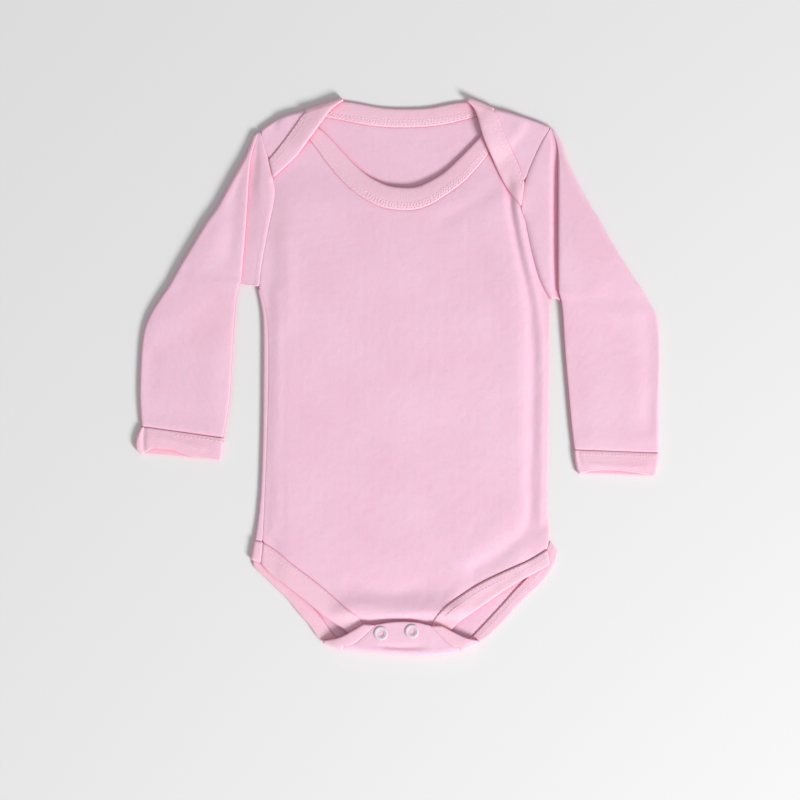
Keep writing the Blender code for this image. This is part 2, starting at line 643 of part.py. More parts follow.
def add_leg_bindings():
    for side, table in (("left", FRONT_LEG_LEFT), ("right", FRONT_LEG_RIGHT)):
        rows = [across(row, front_band_level) for row in curve(table)]
        add_sheet(f"leg_binding_front_{side}", [rows], BAND, "binding")

    wrap = turn(part_of(SIDE_FOLDS[0], 0, 1), back_band_level, front_band_level)[:, ::-1]
    seam = across((*SIDES[-1][2:4], *FRONT_LEG_LEFT[0][2:]), front_band_level)
    seam[:, 0] -= GAP
    crotch = turn(part_of(CROTCH_FOLDS[0], 0, 1), back_band_level, flap_band_level)[:, ::-1]
    leg = curve([ends(wrap[0]), *BACK_LEG_LEFT[1:-1], ends(crotch[0])])[1:-1]
    leg = [across(row, back_band_level) for row in leg]
    flap = curve([ends(crotch[-1]), *FLAP_LEFT])[1:]
    flap = [across(row, flap_band_level) for row in flap]
    rows = [seam, *wrap[::-1], *leg, *crotch, *flap]
    add_sheet("leg_binding_back_left", [rows], BAND, "binding")

    crotch = turn(part_of(CROTCH_FOLDS[0], 5, 6), back_band_level, flap_band_level)
    leg = curve([*BACK_LEG_RIGHT[:-1], ends(crotch[0])])[:-1]
    leg = [across(row, back_band_level) for row in leg]
    flap = curve([ends(crotch[-1]), *FLAP_RIGHT])[1:]
    flap = [across(row, flap_band_level) for row in flap]
    add_sheet("leg_binding_back_right", [[*leg, *crotch, *flap]], BAND, "binding")


# The sleeves ------------------------------------------------------------------------------------


def sleeve_section(row, on_body):
    """Points round one section: cap, pleat, front layer, outer fold and back layer."""
    seam, pleat, fold, back = (np.array(row[k : k + 2]) for k in (0, 2, 4, 6))
    depth, cap, low, top = row[8:]
    depth = max(depth, 0.0)
    cap_width = np.linalg.norm(pleat - seam)
    front_width = np.linalg.norm(fold - pleat)
    inward, outward = (pleat - seam) / cap_width, (fold - pleat) / front_width
    edge = on_body if on_body is not None else cap
    rise = (top - low) / 4
    swing = rise * min(1.0, depth / 1.5)
    radius = (top - SLEEVE_BACK_LEVEL) / 2
    rim = front_width - WALL / 2 - radius
    front = [
        # along the section from the pleat's edge, height
        (-cap_width, edge),
        (-0.7 * cap_width, cap),
        (-min(0.42 * cap_width, 3.6), cap),
        (-min(0.26 * cap_width, 2.0), (cap + low) / 2),
        (-min(0.1 * cap_width, 0.5), low),
        (depth, low),
        (depth + swing, low + rise),
        (depth, low + 1.9 * rise),
        (0.0, low + 2.1 * rise),
        (-swing, low + 3 * rise),
        (0.0, top),
    ]
    front += [(rim * t, top) for t in (0.33, 0.66)]
    for angle in np.linspace(math.pi / 2, -math.pi / 2, TURN_STEPS + 1):
        front.append((rim + radius * math.cos(angle), SLEEVE_BACK_LEVEL + radius * (1 + math.sin(angle))))
    points = []
    for along, height in front:
        place = pleat + (inward if along < 0 else outward) * along
        points.append((*place, height))
    start = np.array(points[-1][:2])
    for t in (0.25, 0.5, 0.75, 1.0):
        points.append((*(start + (back - start) * t), SLEEVE_BACK_LEVEL))
    return points


def add_sleeve(name, table, lap_rows):
    """The lap's rows of the armhole are sewn to the shoulder lap, the others to the front."""
    lower = curve(table[ARMHOLE_ROWS - 1 :], 1)
    rows = np.vstack([curve(table[:ARMHOLE_ROWS]), lower[1:]])
    sections = []
    for index, row in enumerate(rows):
        on_body = None
        if index <= lap_rows * STEPS:
            on_body = lap_level(row[0], row[1])
        elif index <= (ARMHOLE_ROWS - 1) * STEPS:
            on_body = front_level(row[0], row[1])
        sections.append(sleeve_section(row, on_body))
    add_sheet(name, [sections], WALL, "sleeve cloth")


def add_cuff(name, table):
    """A flat band round the sleeve's end, whose back layer reaches a little lower."""
    radius = (CUFF_LEVEL - CUFF_BACK_LEVEL) / 2
    rows = []
    for index, row in enumerate(curve(table)):
        inner, outer = np.array(row[:2]), np.array(row[2:])
        across_cuff = (outer - inner) / np.linalg.norm(outer - inner)
        width = np.linalg.norm(outer - inner) - CUFF - 2 * radius
        start = inner + across_cuff * (CUFF / 2 + radius)
        down = index / ((len(table) - 1) * STEPS)
        section = []
        for t in np.linspace(0, 1, CUFF_ACROSS):
            place = start + across_cuff * width * t
            lift = CUFF_MOUTH_STEP * down * ease(t * (1 - t) * 6)
            section.append((place[0], place[1] + lift, CUFF_LEVEL))
        for angle in (math.pi / 4, 0, -math.pi / 4):
            place = start + across_cuff * (width + radius * math.cos(angle))
            section.append((*place, CUFF_BACK_LEVEL + radius * (1 + math.sin(angle))))
        for t in np.linspace(1, 0, CUFF_ACROSS):
            section.append((*(start + across_cuff * width * t), CUFF_BACK_LEVEL))
        for angle in (-math.pi / 4, 0, math.pi / 4):
            place = start - across_cuff * radius * math.cos(angle)
            section.append((*place, CUFF_BACK_LEVEL + radius * (1 + math.sin(angle))))
        rows.append(section)
    add_sheet(name, [rows], CUFF, "binding", closed=True)


# The snaps --------------------------------------------------------------------------------------


def add_snap(side, x, y):
    """Cap ring over the flap, socket under it, stud on the hem and post ring beneath the hem."""
    ring = [
        (RING_HOLE, 0),
        (SNAP_RADIUS, 0),
        (SNAP_RADIUS, 0.5 * RING_HEIGHT),
        (SNAP_RADIUS - 0.5, RING_HEIGHT),
        (RING_HOLE + 0.4, RING_HEIGHT),
        (RING_HOLE, 0.6 * RING_HEIGHT),
    ]
    socket = [
        (SOCKET_HOLE, 0),
        (SOCKET_RADIUS - 0.5, 0),
        (SOCKET_RADIUS, 0.4),
        (SOCKET_RADIUS, SOCKET_HEIGHT),
        (SOCKET_HOLE, SOCKET_HEIGHT),
    ]
    stud = [
        (0, 0),
        (SOCKET_RADIUS, 0),
        (SOCKET_RADIUS, STUD_FLANGE),
        (STUD_RADIUS, STUD_FLANGE),
        (STUD_RADIUS, STUD_HEIGHT - 0.4),
        (STUD_RADIUS - 0.4, STUD_HEIGHT),
        (0, STUD_HEIGHT),
    ]
    post = [
        (RING_HOLE, 0),
        (SNAP_RADIUS, 0),
        (SNAP_RADIUS, POST_HEIGHT),
        (RING_HOLE, POST_HEIGHT),
    ]
    add_turned(f"snap_{side}_ring", ring, (x, y, RING_BOTTOM))
    add_turned(f"snap_{side}_socket", socket, (x, y, SOCKET_BOTTOM))
    add_turned(f"snap_{side}_stud", stud, (x, y, STUD_BOTTOM))
    add_turned(f"snap_{side}_post", post, (x, y, POST_BOTTOM))


clear_scene()
add_back()
add_front()
add_neck_bindings()
add_leg_bindings()
add_sleeve("sleeve_left", LEFT_SLEEVE, lap_rows=3)
add_sleeve("sleeve_right", RIGHT_SLEEVE, lap_rows=4)
add_cuff("cuff_left", LEFT_CUFF)
add_cuff("cuff_right", RIGHT_CUFF)
for snap in SNAPS:
    add_snap(*snap)
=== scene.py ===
"""A baby's long-sleeved bodysuit in pink interlock, laid flat on its back on a pale table."""

import math

import bmesh
import bpy
import numpy as np
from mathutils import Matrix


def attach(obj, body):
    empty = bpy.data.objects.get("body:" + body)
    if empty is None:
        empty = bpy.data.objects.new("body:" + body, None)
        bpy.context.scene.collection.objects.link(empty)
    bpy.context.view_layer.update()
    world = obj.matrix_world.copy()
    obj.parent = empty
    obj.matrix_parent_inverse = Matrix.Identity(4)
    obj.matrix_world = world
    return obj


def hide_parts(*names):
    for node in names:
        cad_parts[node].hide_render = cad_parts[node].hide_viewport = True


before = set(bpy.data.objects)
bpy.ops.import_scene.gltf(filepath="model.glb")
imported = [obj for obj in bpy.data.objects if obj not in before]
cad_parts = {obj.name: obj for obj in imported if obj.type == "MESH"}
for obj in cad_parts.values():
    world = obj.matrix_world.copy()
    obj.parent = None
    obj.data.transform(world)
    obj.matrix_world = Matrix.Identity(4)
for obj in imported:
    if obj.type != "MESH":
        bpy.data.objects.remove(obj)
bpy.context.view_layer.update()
bpy.ops.object.select_all(action="DESELECT")


# Pink interlock ---------------------------------------------------------------------------------
# A soft double knit of combed cotton, about a millimetre thick. Its face is fine upright ribs of
# small V stitches, brushed a little by washing, and the dye takes very slightly unevenly.
# Folds and the cloth under edges are also given a deeper pink as painted shade.


def new_group(name, inputs, outputs):
    """An empty node group with float inputs and outputs."""
    group = bpy.data.node_groups.new(name, "ShaderNodeTree")
    for label, value in inputs:
        socket = group.interface.new_socket(label, in_out="INPUT", socket_type="NodeSocketFloat")
        socket.default_value = value
    for label in outputs:
        group.interface.new_socket(label, in_out="OUTPUT", socket_type="NodeSocketFloat")
    return group, group.nodes.new("NodeGroupInput"), group.nodes.new("NodeGroupOutput")


def calculate(tree, operation, *values):
    """A Math node on sockets or numbers, and its output."""
    node = tree.nodes.new("ShaderNodeMath")
    node.operation = operation
    for socket, value in zip(node.inputs, values):
        if isinstance(value, (int, float)):
            socket.default_value = value
        else:
            tree.links.new(value, socket)
    return node.outputs[0]


def make_knit_group():
    """Ribs of V stitches along the piece's own map: U across the ribs, V along them."""
    group, given, result = new_group(
        "Knit stitches", [("Rib width", 0.0008), ("Stitch length", 0.0007)], ["Height"]
    )
    place = group.nodes.new("ShaderNodeUVMap")
    place.uv_map = "Cloth"
    split = group.nodes.new("ShaderNodeSeparateXYZ")
    group.links.new(place.outputs["UV"], split.inputs[0])
    ribs = calculate(group, "DIVIDE", split.outputs[0], given.outputs["Rib width"])
    off_middle = calculate(group, "SUBTRACT", calculate(group, "FRACT", ribs), 0.5)
    round_rib = calculate(group, "COSINE", calculate(group, "MULTIPLY", off_middle, math.pi))
    stitches = calculate(group, "DIVIDE", split.outputs[1], given.outputs["Stitch length"])
    slanted = calculate(group, "ADD", stitches, calculate(group, "ABSOLUTE", off_middle))
    wave = calculate(group, "SINE", calculate(group, "MULTIPLY", slanted, math.tau))
    stitch = calculate(group, "MULTIPLY_ADD", wave, 0.25, 0.75)
    height = calculate(group, "MULTIPLY", round_rib, stitch)
    group.links.new(height, result.inputs["Height"])
    return group


def make_softness_group():
    """Broad unevenness of the dye, and the low dimples and lint of washed cotton."""
    group, given, result = new_group(
        "Washed cotton", [("Patch size", 0.05), ("Dimple size", 0.006)], ["Tone", "Height"]
    )
    place = group.nodes.new("ShaderNodeTexCoord")
    for label, detail, output in (("Patch size", 3, "Tone"), ("Dimple size", 4, "Height")):
        noise = group.nodes.new("ShaderNodeTexNoise")
        noise.inputs["Detail"].default_value = detail
        noise.inputs["Roughness"].default_value = 0.55
        scale = calculate(group, "DIVIDE", 1.0, given.outputs[label])
        group.links.new(scale, noise.inputs["Scale"])
        group.links.new(place.outputs["Object"], noise.inputs["Vector"])
        group.links.new(noise.outputs["Fac"], result.inputs[output])
    return group


def make_painted_fold_shade_group():
    """Painted shade: 1 on open cloth, falling to 0 in folds and under edges, where the cloth's
    colour is turned to a deep pink that stands in for shade.
    """
    group, given, result = new_group("Painted fold shade", [("Reach", 0.005)], ["Open"])
    shade = group.nodes.new("ShaderNodeAmbientOcclusion")
    shade.samples = 6
    group.links.new(given.outputs["Reach"], shade.inputs["Distance"])
    ramp = group.nodes.new("ShaderNodeMapRange")
    ramp.interpolation_type = "SMOOTHSTEP"
    ramp.inputs["From Min"].default_value = 0.15
    ramp.inputs["From Max"].default_value = 0.92
    group.links.new(shade.outputs["AO"], ramp.inputs["Value"])
    group.links.new(ramp.outputs["Result"], result.inputs["Open"])
    return group


KNIT = make_knit_group()
SOFTNESS = make_softness_group()
# Painted shade for folds and the cloth under edges, found by ambient occlusion.
PAINTED_FOLD_SHADE = make_painted_fold_shade_group()


def make_cloth(name, light, deep, rib, stitch, knit_height):
    """A knitted cloth that varies between two close tones, with painted shade: a deep pink in its
    folds and under edges.
    """
    cloth = bpy.data.materials.new(name)
    cloth.use_nodes = True
    tree = cloth.node_tree
    shader = tree.nodes["Principled BSDF"]
    shader.inputs["Roughness"].default_value = 0.92
    shader.inputs["Specular IOR Level"].default_value = 0.25
    shader.inputs["Sheen Weight"].default_value = 0.12
    shader.inputs["Sheen Roughness"].default_value = 0.6
    shader.inputs["Sheen Tint"].default_value = (1.0, 0.86, 0.92, 1)
    shader.inputs["Subsurface Weight"].default_value = 0.2
    shader.inputs["Subsurface Radius"].default_value = (1.0, 0.35, 0.45)
    shader.inputs["Subsurface Scale"].default_value = 0.0015
    knit = tree.nodes.new("ShaderNodeGroup")
    knit.node_tree = KNIT
    knit.inputs["Rib width"].default_value = rib
    knit.inputs["Stitch length"].default_value = stitch
    soft = tree.nodes.new("ShaderNodeGroup")
    soft.node_tree = SOFTNESS
    tone = tree.nodes.new("ShaderNodeMix")
    tone.data_type = "RGBA"
    tone.inputs["A"].default_value = (*deep, 1)
    tone.inputs["B"].default_value = (*light, 1)
    spread = calculate(tree, "MULTIPLY_ADD", soft.outputs["Tone"], 2.0, -0.5)
    grain = calculate(tree, "MULTIPLY_ADD", knit.outputs["Height"], 0.5, -0.2)
    factor = calculate(tree, "ADD", spread, calculate(tree, "MULTIPLY", grain, 0.35))
    tree.links.new(factor, tone.inputs["Factor"])
    # Painted shade: the tone is mixed towards a deep saturated pink where the occlusion group finds
    # folds and the cloth under edges.
    folds = tree.nodes.new("ShaderNodeGroup")
    folds.node_tree = PAINTED_FOLD_SHADE
    fold_shade_mix = tree.nodes.new("ShaderNodeMix")
    fold_shade_mix.data_type = "RGBA"
    fold_shade_mix.inputs["A"].default_value = (0.93, 0.24, 0.36, 1)
    tree.links.new(folds.outputs["Open"], fold_shade_mix.inputs["Factor"])
    tree.links.new(tone.outputs["Result"], fold_shade_mix.inputs["B"])
    tree.links.new(fold_shade_mix.outputs["Result"], shader.inputs["Base Color"])
    fine = calculate(tree, "MULTIPLY", knit.outputs["Height"], knit_height)
    low = calculate(tree, "MULTIPLY", soft.outputs["Height"], 0.00045)
    bump = tree.nodes.new("ShaderNodeBump")
    bump.inputs["Strength"].default_value = 0.7
    bump.inputs["Distance"].default_value = 1.0
    tree.links.new(calculate(tree, "ADD", fine, low), bump.inputs["Height"])
    tree.links.new(bump.outputs["Normal"], shader.inputs["Normal"])
    return cloth


BODY_CLOTH = make_cloth(
    "pink interlock", (0.86, 0.565, 0.70), (0.83, 0.51, 0.635), 0.0008, 0.0007, 0.00008
)
SLEEVE_CLOTH = make_cloth(
    "pink sleeve interlock", (0.86, 0.565, 0.70), (0.82, 0.50, 0.62), 0.0008, 0.0007, 0.00008
)
RIB_CLOTH = make_cloth(
    "pink rib binding", (0.87, 0.57, 0.68), (0.84, 0.51, 0.62), 0.0011, 0.0009, 0.00012
)


# Back panel -------------------------------------------------------------------------------------
# One cut of interlock that lies face down on the table. Its shoulders turn over onto the front as
# laps, its crotch end turns up over the front's hem, and its left side rolls a little to the front.

WALL = 1.0  # one layer of interlock, in millimetres as all the sizes below
BAND = 2.0  # a folded rib binding
GAP = 0.3  # between layers that lie on each other
SEAM = -0.6  # between pieces that are sewn together, whose rounded edges press into each other
STEPS = 4  # points made from each point of an outline
TURN_STEPS = 8  # points round a fold
BACK_LEVEL = WALL / 2
BAND_BACK_LEVEL = BAND / 2 + 0.03
TOUCH_LEVEL = BACK_LEVEL + WALL + GAP
HEM_LEVEL = 2.8  # the front's hem, over the snaps' post rings
FLAP_LEVEL = 6.6  # the crotch flap, over the snaps' sockets

SIDES = [
    # fold_x, fold_y, seam_x, seam_y, right_x, right_y
    (-102.0, 62.4, -100.6, 64.0, 103.0, 55.0),
    (-98.9, 47.0, -96.4, 48.0, 102.5, 42.0),
    (-98.0, 32.0, -94.6, 33.0, 102.2, 26.0),
    (-98.0, 10.0, -94.1, 12.0, 102.1, 6.0),
    (-98.1, -12.0, -94.4, -10.0, 101.9, -14.0),
    (-98.4, -34.0, -94.9, -32.0, 101.6, -35.0),
    (-98.9, -56.0, -95.7, -54.0, 101.3, -56.0),
    (-99.8, -78.0, -96.7, -78.0, 100.9, -77.0),
    (-101.6, -98.0, -97.5, -98.0, 101.0, -97.0),
    (-104.0, -113.6, -98.4, -114.6, 102.8, -113.5),
]
LEFT_LAP = [
    # fold_x, fold_y, seam_x, seam_y
    (-100.1, 173.4, -93.5, 153.2),
    (-93.0, 178.6, -87.0, 162.0),
    (-86.0, 182.6, -80.2, 170.8),
    (-77.5, 185.6, -74.4, 178.8),
    (-69.3, 187.6, -71.1, 184.0),
]
RIGHT_LAP = [
    # fold_x, fold_y, seam_x, seam_y
    (103.2, 175.8, 84.3, 137.0),
    (94.5, 179.6, 81.2, 148.6),
    (85.0, 182.6, 76.4, 159.4),
    (74.5, 186.2, 71.0, 171.0),
    (64.2, 188.8, 66.6, 183.9),
]
FRONT_NECK = [
    # seam_x, seam_y, free_x, free_y
    (-77.5, 178.2, -69.2, 182.6),
    (-64.4, 165.2, -55.5, 172.5),
    (-52.5, 149.0, -44.5, 161.0),
    (-41.3, 136.5, -34.5, 150.3),
    (-31.5, 128.3, -24.5, 141.8),
    (-18.0, 120.6, -13.5, 136.0),
    (-6.0, 117.8, -5.0, 133.9),
    (7.5, 117.6, 7.8, 133.6),
    (19.5, 121.4, 17.2, 137.2),
    (31.5, 129.0, 28.0, 143.6),
    (43.0, 137.6, 37.5, 152.2),
    (52.0, 147.3, 45.5, 160.3),
    (60.0, 157.0, 52.5, 167.6),
    (68.5, 167.5, 61.0, 176.6),
    (76.0, 176.6, 68.5, 183.4),
]
BACK_NECK = [
    # seam_x, seam_y, free_x, free_y, with the first and last rows on the shoulder folds
    (-69.3, 187.6, -42.2, 196.4),
    (-47.0, 181.6, -30.0, 192.4),
    (-21.0, 176.8, -14.5, 189.6),
    (1.4, 175.7, 1.4, 188.8),
    (25.0, 177.2, 18.5, 189.6),
    (48.0, 182.4, 34.0, 192.6),
    (64.2, 188.8, 45.5, 196.4),
]
FRONT_LEG_LEFT = [
    # seam_x, seam_y, free_x, free_y
    (-98.4, -114.6, -99.8, -129.8),
    (-88.2, -121.1, -93.0, -137.6),
    (-78.4, -129.5, -84.7, -143.5),
    (-66.5, -138.4, -73.5, -151.9),
    (-54.5, -148.0, -62.5, -161.0),
    (-42.7, -158.6, -52.0, -169.4),
    (-33.0, -166.0, -42.0, -175.6),
    (-27.0, -174.0, -36.0, -181.5),
    (-25.0, -187.0, -34.0, -187.0),
]
FRONT_LEG_RIGHT = [
    # seam_x, seam_y, free_x, free_y
    (101.4, -119.6, 103.2, -130.4),
    (90.5, -126.4, 93.0, -136.4),
    (78.8, -131.8, 82.0, -142.2),
    (65.5, -137.8, 70.0, -149.6),
    (52.0, -144.6, 59.0, -157.2),
    (40.6, -151.9, 48.0, -164.8),
    (28.6, -160.6, 38.0, -172.0),
    (21.0, -170.0, 32.4, -179.0),
    (19.0, -187.0, 30.0, -187.0),
]
BACK_LEG_LEFT = [
    # seam_x, seam_y, free_x, free_y, with the first and last rows on folds
    (-104.0, -113.6, -106.4, -127.6),
    (-96.0, -124.5, -104.6, -132.4),
    (-89.0, -133.0, -97.0, -139.8),
    (-80.5, -141.2, -88.5, -148.0),
    (-71.5, -149.8, -80.0, -156.3),
    (-64.0, -159.0, -73.3, -165.0),
    (-57.0, -168.0, -66.0, -173.2),
    (-49.5, -179.0, -60.0, -181.8),
    (-42.0, -190.3, -56.5, -185.4),
]
BACK_LEG_RIGHT = [
    # seam_x, seam_y, free_x, free_y, with the last row on a fold
    (102.8, -113.5, 108.5, -121.8),
    (97.5, -125.0, 106.6, -130.2),
    (88.5, -137.5, 99.0, -142.0),
    (78.5, -148.3, 89.2, -151.2),
    (69.5, -158.6, 80.5, -159.8),
    (61.5, -167.3, 72.8, -168.6),
    (54.0, -175.3, 65.0, -176.4),
    (47.4, -182.2, 59.4, -181.4),
    (40.0, -191.6, 54.2, -185.6),
]
CROTCH_FOLD = [
    # x, y, with the first and last across the leg bindings
    (-56.5, -185.4),
    (-42.0, -190.3),
    (-22.0, -192.6),
    (-2.0, -194.0),
    (19.0, -194.9),
    (40.0, -191.6),
    (54.2, -185.6),
]
FLAP_LEFT = [
    # seam_x, seam_y, free_x, free_y, from the crotch fold to the flap's hem
    (-34.5, -186.0, -45.2, -181.6),
    (-26.5, -179.6, -36.0, -177.0),
    (-19.5, -172.6, -27.5, -172.0),
]
FLAP_RIGHT = [
    # seam_x, seam_y, free_x, free_y, from the crotch fold to the flap's hem
    (33.0, -186.6, 44.0, -181.6),
    (25.5, -179.8, 35.0, -177.4),
    (18.8, -173.2, 27.0, -173.2),
]
FLAP_HEM = [(-19.5, -172.6), (-10.0, -170.8), (0.0, -170.2), (10.0, -170.8), (18.8, -173.2)]
LEFT_ARMHOLE = [
    # front seam x, y and back seam x, y, from the shoulder to the underarm
    (-100.4, 172.8, -100.6, 172.6),
    (-96.6, 161.2, -98.9, 160.0),
    (-94.0, 153.0, -97.6, 150.0),
    (-91.0, 139.6, -96.4, 138.0),
    (-89.4, 130.5, -95.8, 126.0),
    (-90.9, 119.5, -95.8, 114.0),
    (-93.6, 107.5, -96.4, 102.0),
    (-96.5, 92.5, -97.6, 90.0),
    (-99.3, 76.5, -99.4, 76.0),
    (-100.6, 64.0, -101.8, 64.0),
]
RIGHT_ARMHOLE = [
    # front seam x, y and back seam x, y, from the shoulder to the underarm
    (103.5, 175.2, 103.5, 175.0),
    (97.3, 166.0, 100.6, 164.0),
    (90.2, 151.5, 98.0, 150.0),
    (84.9, 136.8, 96.2, 136.0),
    (82.4, 119.4, 95.2, 118.0),
    (85.4, 109.6, 95.2, 106.0),
    (88.2, 96.0, 96.0, 93.0),
    (91.9, 81.0, 97.8, 80.0),
    (96.2, 67.9, 100.2, 67.0),
    (103.0, 55.0, 103.2, 55.0),
]


def curve(points, steps=STEPS):
    """A smooth line through the points, with this many steps between each two."""
    points = np.array(points, float)
    ends = np.vstack([2 * points[0] - points[1], points, 2 * points[-1] - points[-2]])
    line = []
    for a, b, c, d in zip(ends, ends[1:], ends[2:], ends[3:]):
        for t in np.arange(steps) / steps:
            line.append(
                b
                + 0.5 * t * (c - a)
                + t * t * (a - 2.5 * b + 2 * c - 0.5 * d)
                + 0.5 * t**3 * (3 * b - 3 * c + d - a)
            )
    return np.array(line + [points[-1]])


def columns(table, first, count=2):
    return [row[first : first + count] for row in table]


def normals(line):
    """Unit vectors to the left of a line in the plane, at each of its points."""
    along = np.gradient(line, axis=0)
    along /= np.linalg.norm(along, axis=1)[:, None]
    return np.stack([-along[:, 1], along[:, 0]], axis=1)


def inset(line, distance):
    """The line moved to its left."""
    return line + distance * normals(line)


def ease(t):
    t = np.clip(t, 0.0, 1.0)
    return t * t * (3 - 2 * t)


def middle(table):
    """The line down the middle of a binding."""
    return curve([((a + c) / 2, (b + d) / 2) for a, b, c, d in table], 8)


def apart(line, x, y):
    """Distance of each place from the nearest point of a line."""
    x, y = np.asarray(x, float)[..., None], np.asarray(y, float)[..., None]
    return np.min(np.hypot(line[:, 0] - x, line[:, 1] - y), axis=-1)


def relief(x, y, creases):
    """Height of soft ridges, and troughs where it is negative, along the given lines."""
    total = 0.0
    for points, width, height in creases:
        total = total + height * np.exp(-((apart(curve(points, 14), x, y) / width) ** 2))
    return total


NECK_MIDDLE = middle(FRONT_NECK)
LEG_MIDDLES = np.vstack([middle(FRONT_LEG_LEFT), middle(FRONT_LEG_RIGHT)])
FRONT_CREASES = [
    # points, width, height
    ([(74, 138), (76, 116), (82, 84), (88.5, 54), (90.5, 23), (89.8, -30), (89, -100)], 2.3, -2.4),
    (
        [(79.5, 132), (80.5, 114), (86, 88), (92, 62), (96, 36), (97.5, 0), (97, -50), (96.5, -100)],
        2.6,
        1.3,
    ),
    ([(60, 110), (68, 84), (76, 54), (79, 20), (78, -40)], 9.0, 0.35),
    ([(-89, 60), (-88, 20), (-89, -30), (-90.5, -106)], 4.0, 0.8),
    ([(50, -134), (64, -126), (80, -114), (90, -102)], 4.0, -1.3),
    ([(36, -130), (56, -115), (74, -96)], 8.0, 0.5),
    ([(99, -124), (80, -136.5), (58, -151), (46, -160)], 2.2, -0.35),
    ([(-36, -146), (-12, -152), (14, -148)], 6.0, -0.7),
    ([(-70, 112), (-45, 88), (-12, 74)], 16.0, 0.4),
    ([(72, 60), (40, 40), (4, 36)], 18.0, 0.3),
    ([(-66, -20), (-20, -44), (30, -40)], 20.0, -0.35),
    ([(-50, -112), (-10, -124), (36, -112)], 12.0, 0.4),
    ([(-84, 96), (-80, 70), (-82, 40)], 6.0, 0.45),
    ([(30, 112), (48, 122), (66, 134)], 5.0, -0.5),
]


def front_level(x, y):
    """Middle of the front panel: it lies on the back, and is a little full inside its edges."""
    off_right_seam = ease((101 - x) / 14)
    below_shoulders = ease((165 - y) / 45)
    inside = ease((95 - np.abs(x)) / 16) * ease((150 - y) / 30)
    roll = 2.7 * np.exp(-(((y + 162.5) / 7.0) ** 2)) * ease((54 - np.abs(x)) / 18)
    level = TOUCH_LEVEL + 0.7 * off_right_seam * below_shoulders + 1.3 * inside + roll
    level = level + relief(x, y, FRONT_CREASES)
    level = level + (HEM_LEVEL - level) * ease((-y - 165.0) / 6.0)
    on_back_binding = 1 - ease((apart(LEG_MIDDLES, x, y) - 13) / 12)
    return np.maximum(level, TOUCH_LEVEL + (HEM_LEVEL - TOUCH_LEVEL) * on_back_binding)


def front_band_level(x, y):
    return front_level(x, y) + (BAND - WALL) / 2


LAP_CREASES = [
    # points, width, height
    ([(46, 197), (52, 182), (60, 164)], 8.0, 2.2),
    ([(80, 170), (90, 158), (92, 148)], 6.0, 0.4),
    ([(-43, 197), (-54, 182), (-68, 164)], 8.0, 1.3),
    ([(-92, 172), (-82, 166), (-76, 158)], 5.0, -0.3),
]


def lap_level(x, y):
    """Middle of a shoulder lap, which lies on the front and on the front's neck binding."""
    over_binding = (BAND - WALL + 0.1) * (1 - ease((apart(NECK_MIDDLE, x, y) - 11) / 6))
    return front_level(x, y) + WALL + GAP + over_binding + relief(x, y, LAP_CREASES)


def lap_band_level(x, y):
    return lap_level(x, y) + (BAND - WALL) / 2


FLAP_CREASES = [([(-13, -187.4), (-1, -188.4), (13, -187.6)], 1.9, -1.0)]


def flap_level(x, y):
    """Middle of the crotch flap, held up by the snaps and the front's bindings."""
    return 3.0 + (FLAP_LEVEL - 3.0) * ease((60 - np.abs(x)) / 16) + relief(x, y, FLAP_CREASES)


def flap_band_level(x, y):
    return flap_level(x, y) + 0.1


def back_level(x, y):
    return np.full(np.shape(x), BACK_LEVEL)


def back_band_level(x, y):
    return np.full(np.shape(x), BAND_BACK_LEVEL)


def raised(places, level):
    """Places in the plane lifted to a level, which is a function of place."""
    places = np.array(places, float)[..., :2]
    return np.concatenate([places, level(places[..., 0], places[..., 1])[..., None]], axis=-1)


def fold_line(points, side, panel):
    """Folds of a panel and of the bindings beyond its ends, along one line through the points.

    It gives the line with the direction it faces, and the panel's part, kept off the bindings.
    """
    line = curve(points)
    outward = side * normals(line)
    first, last = panel.start * STEPS, panel.stop * STEPS
    own = line[first : last + 1].copy()
    if panel.start > 0:
        step = line[first + 1] - line[first]
        own[0] += 2 * SEAM * step / np.linalg.norm(step)
    if panel.stop < len(points) - 1:
        step = line[last - 1] - line[last]
        own[-1] += 2 * SEAM * step / np.linalg.norm(step)
    return (line, outward), (own, outward[first : last + 1])


def part_of(fold, first, last):
    """Part of a fold, from one station to another."""
    return tuple(array[first * STEPS : last * STEPS + 1] for array in fold)


def turn(fold, low, high):
    """Rows round a fold from the level below to the level above."""
    line, outward = fold
    bottom = low(line[:, 0], line[:, 1])
    radius = (high(line[:, 0], line[:, 1]) - bottom) / 2
    rows = []
    for angle in np.linspace(-math.pi / 2, math.pi / 2, TURN_STEPS + 1):
        out = radius * math.cos(angle) - radius - WALL / 2
        height = bottom + radius * (1 + math.sin(angle))
        rows.append(np.column_stack([line + outward * out[:, None], height]))
    return np.array(rows)


def patch(bottom, top, left, right):
    """The rows of a sheet with these four edges: left and right run upwards."""
    u = np.linspace(0, 1, len(bottom))[None, :, None]
    v = np.linspace(0, 1, len(left))[:, None, None]
    sides = (1 - u) * left[:, None] + u * right[:, None]
    ends = (1 - v) * bottom[None] + v * top[None]
    low = (1 - u) * bottom[0] + u * bottom[-1]
    high = (1 - u) * top[0] + u * top[-1]
    return sides + ends - (1 - v) * low - v * high


def between(first, last, steps):
    """Rows from one line to another, both included."""
    return np.array([first + (last - first) * t for t in np.linspace(0, 1, steps + 1)])


def plan_map(grid):
    """A map of a panel that lies flat: its ribs run along Y."""
    return np.array(grid)[..., :2] / 1000


def length_map(grid):
    """A map by lengths measured on the cloth: U along each row and V from row to row."""
    grid = np.array(grid)
    across = np.linalg.norm(np.diff(grid, axis=1), axis=-1)
    along = np.linalg.norm(np.diff(grid, axis=0), axis=-1).mean(axis=1)
    u = np.hstack([np.zeros((len(grid), 1)), np.cumsum(across, axis=1)])
    v = np.concatenate([[0.0], np.cumsum(along)])
    return np.stack([u, np.broadcast_to(v[:, None], u.shape)], axis=-1) / 1000


def strip_map(grid):
    """A map of a binding, whose ribs run across the strip."""
    return length_map(grid)[..., ::-1]


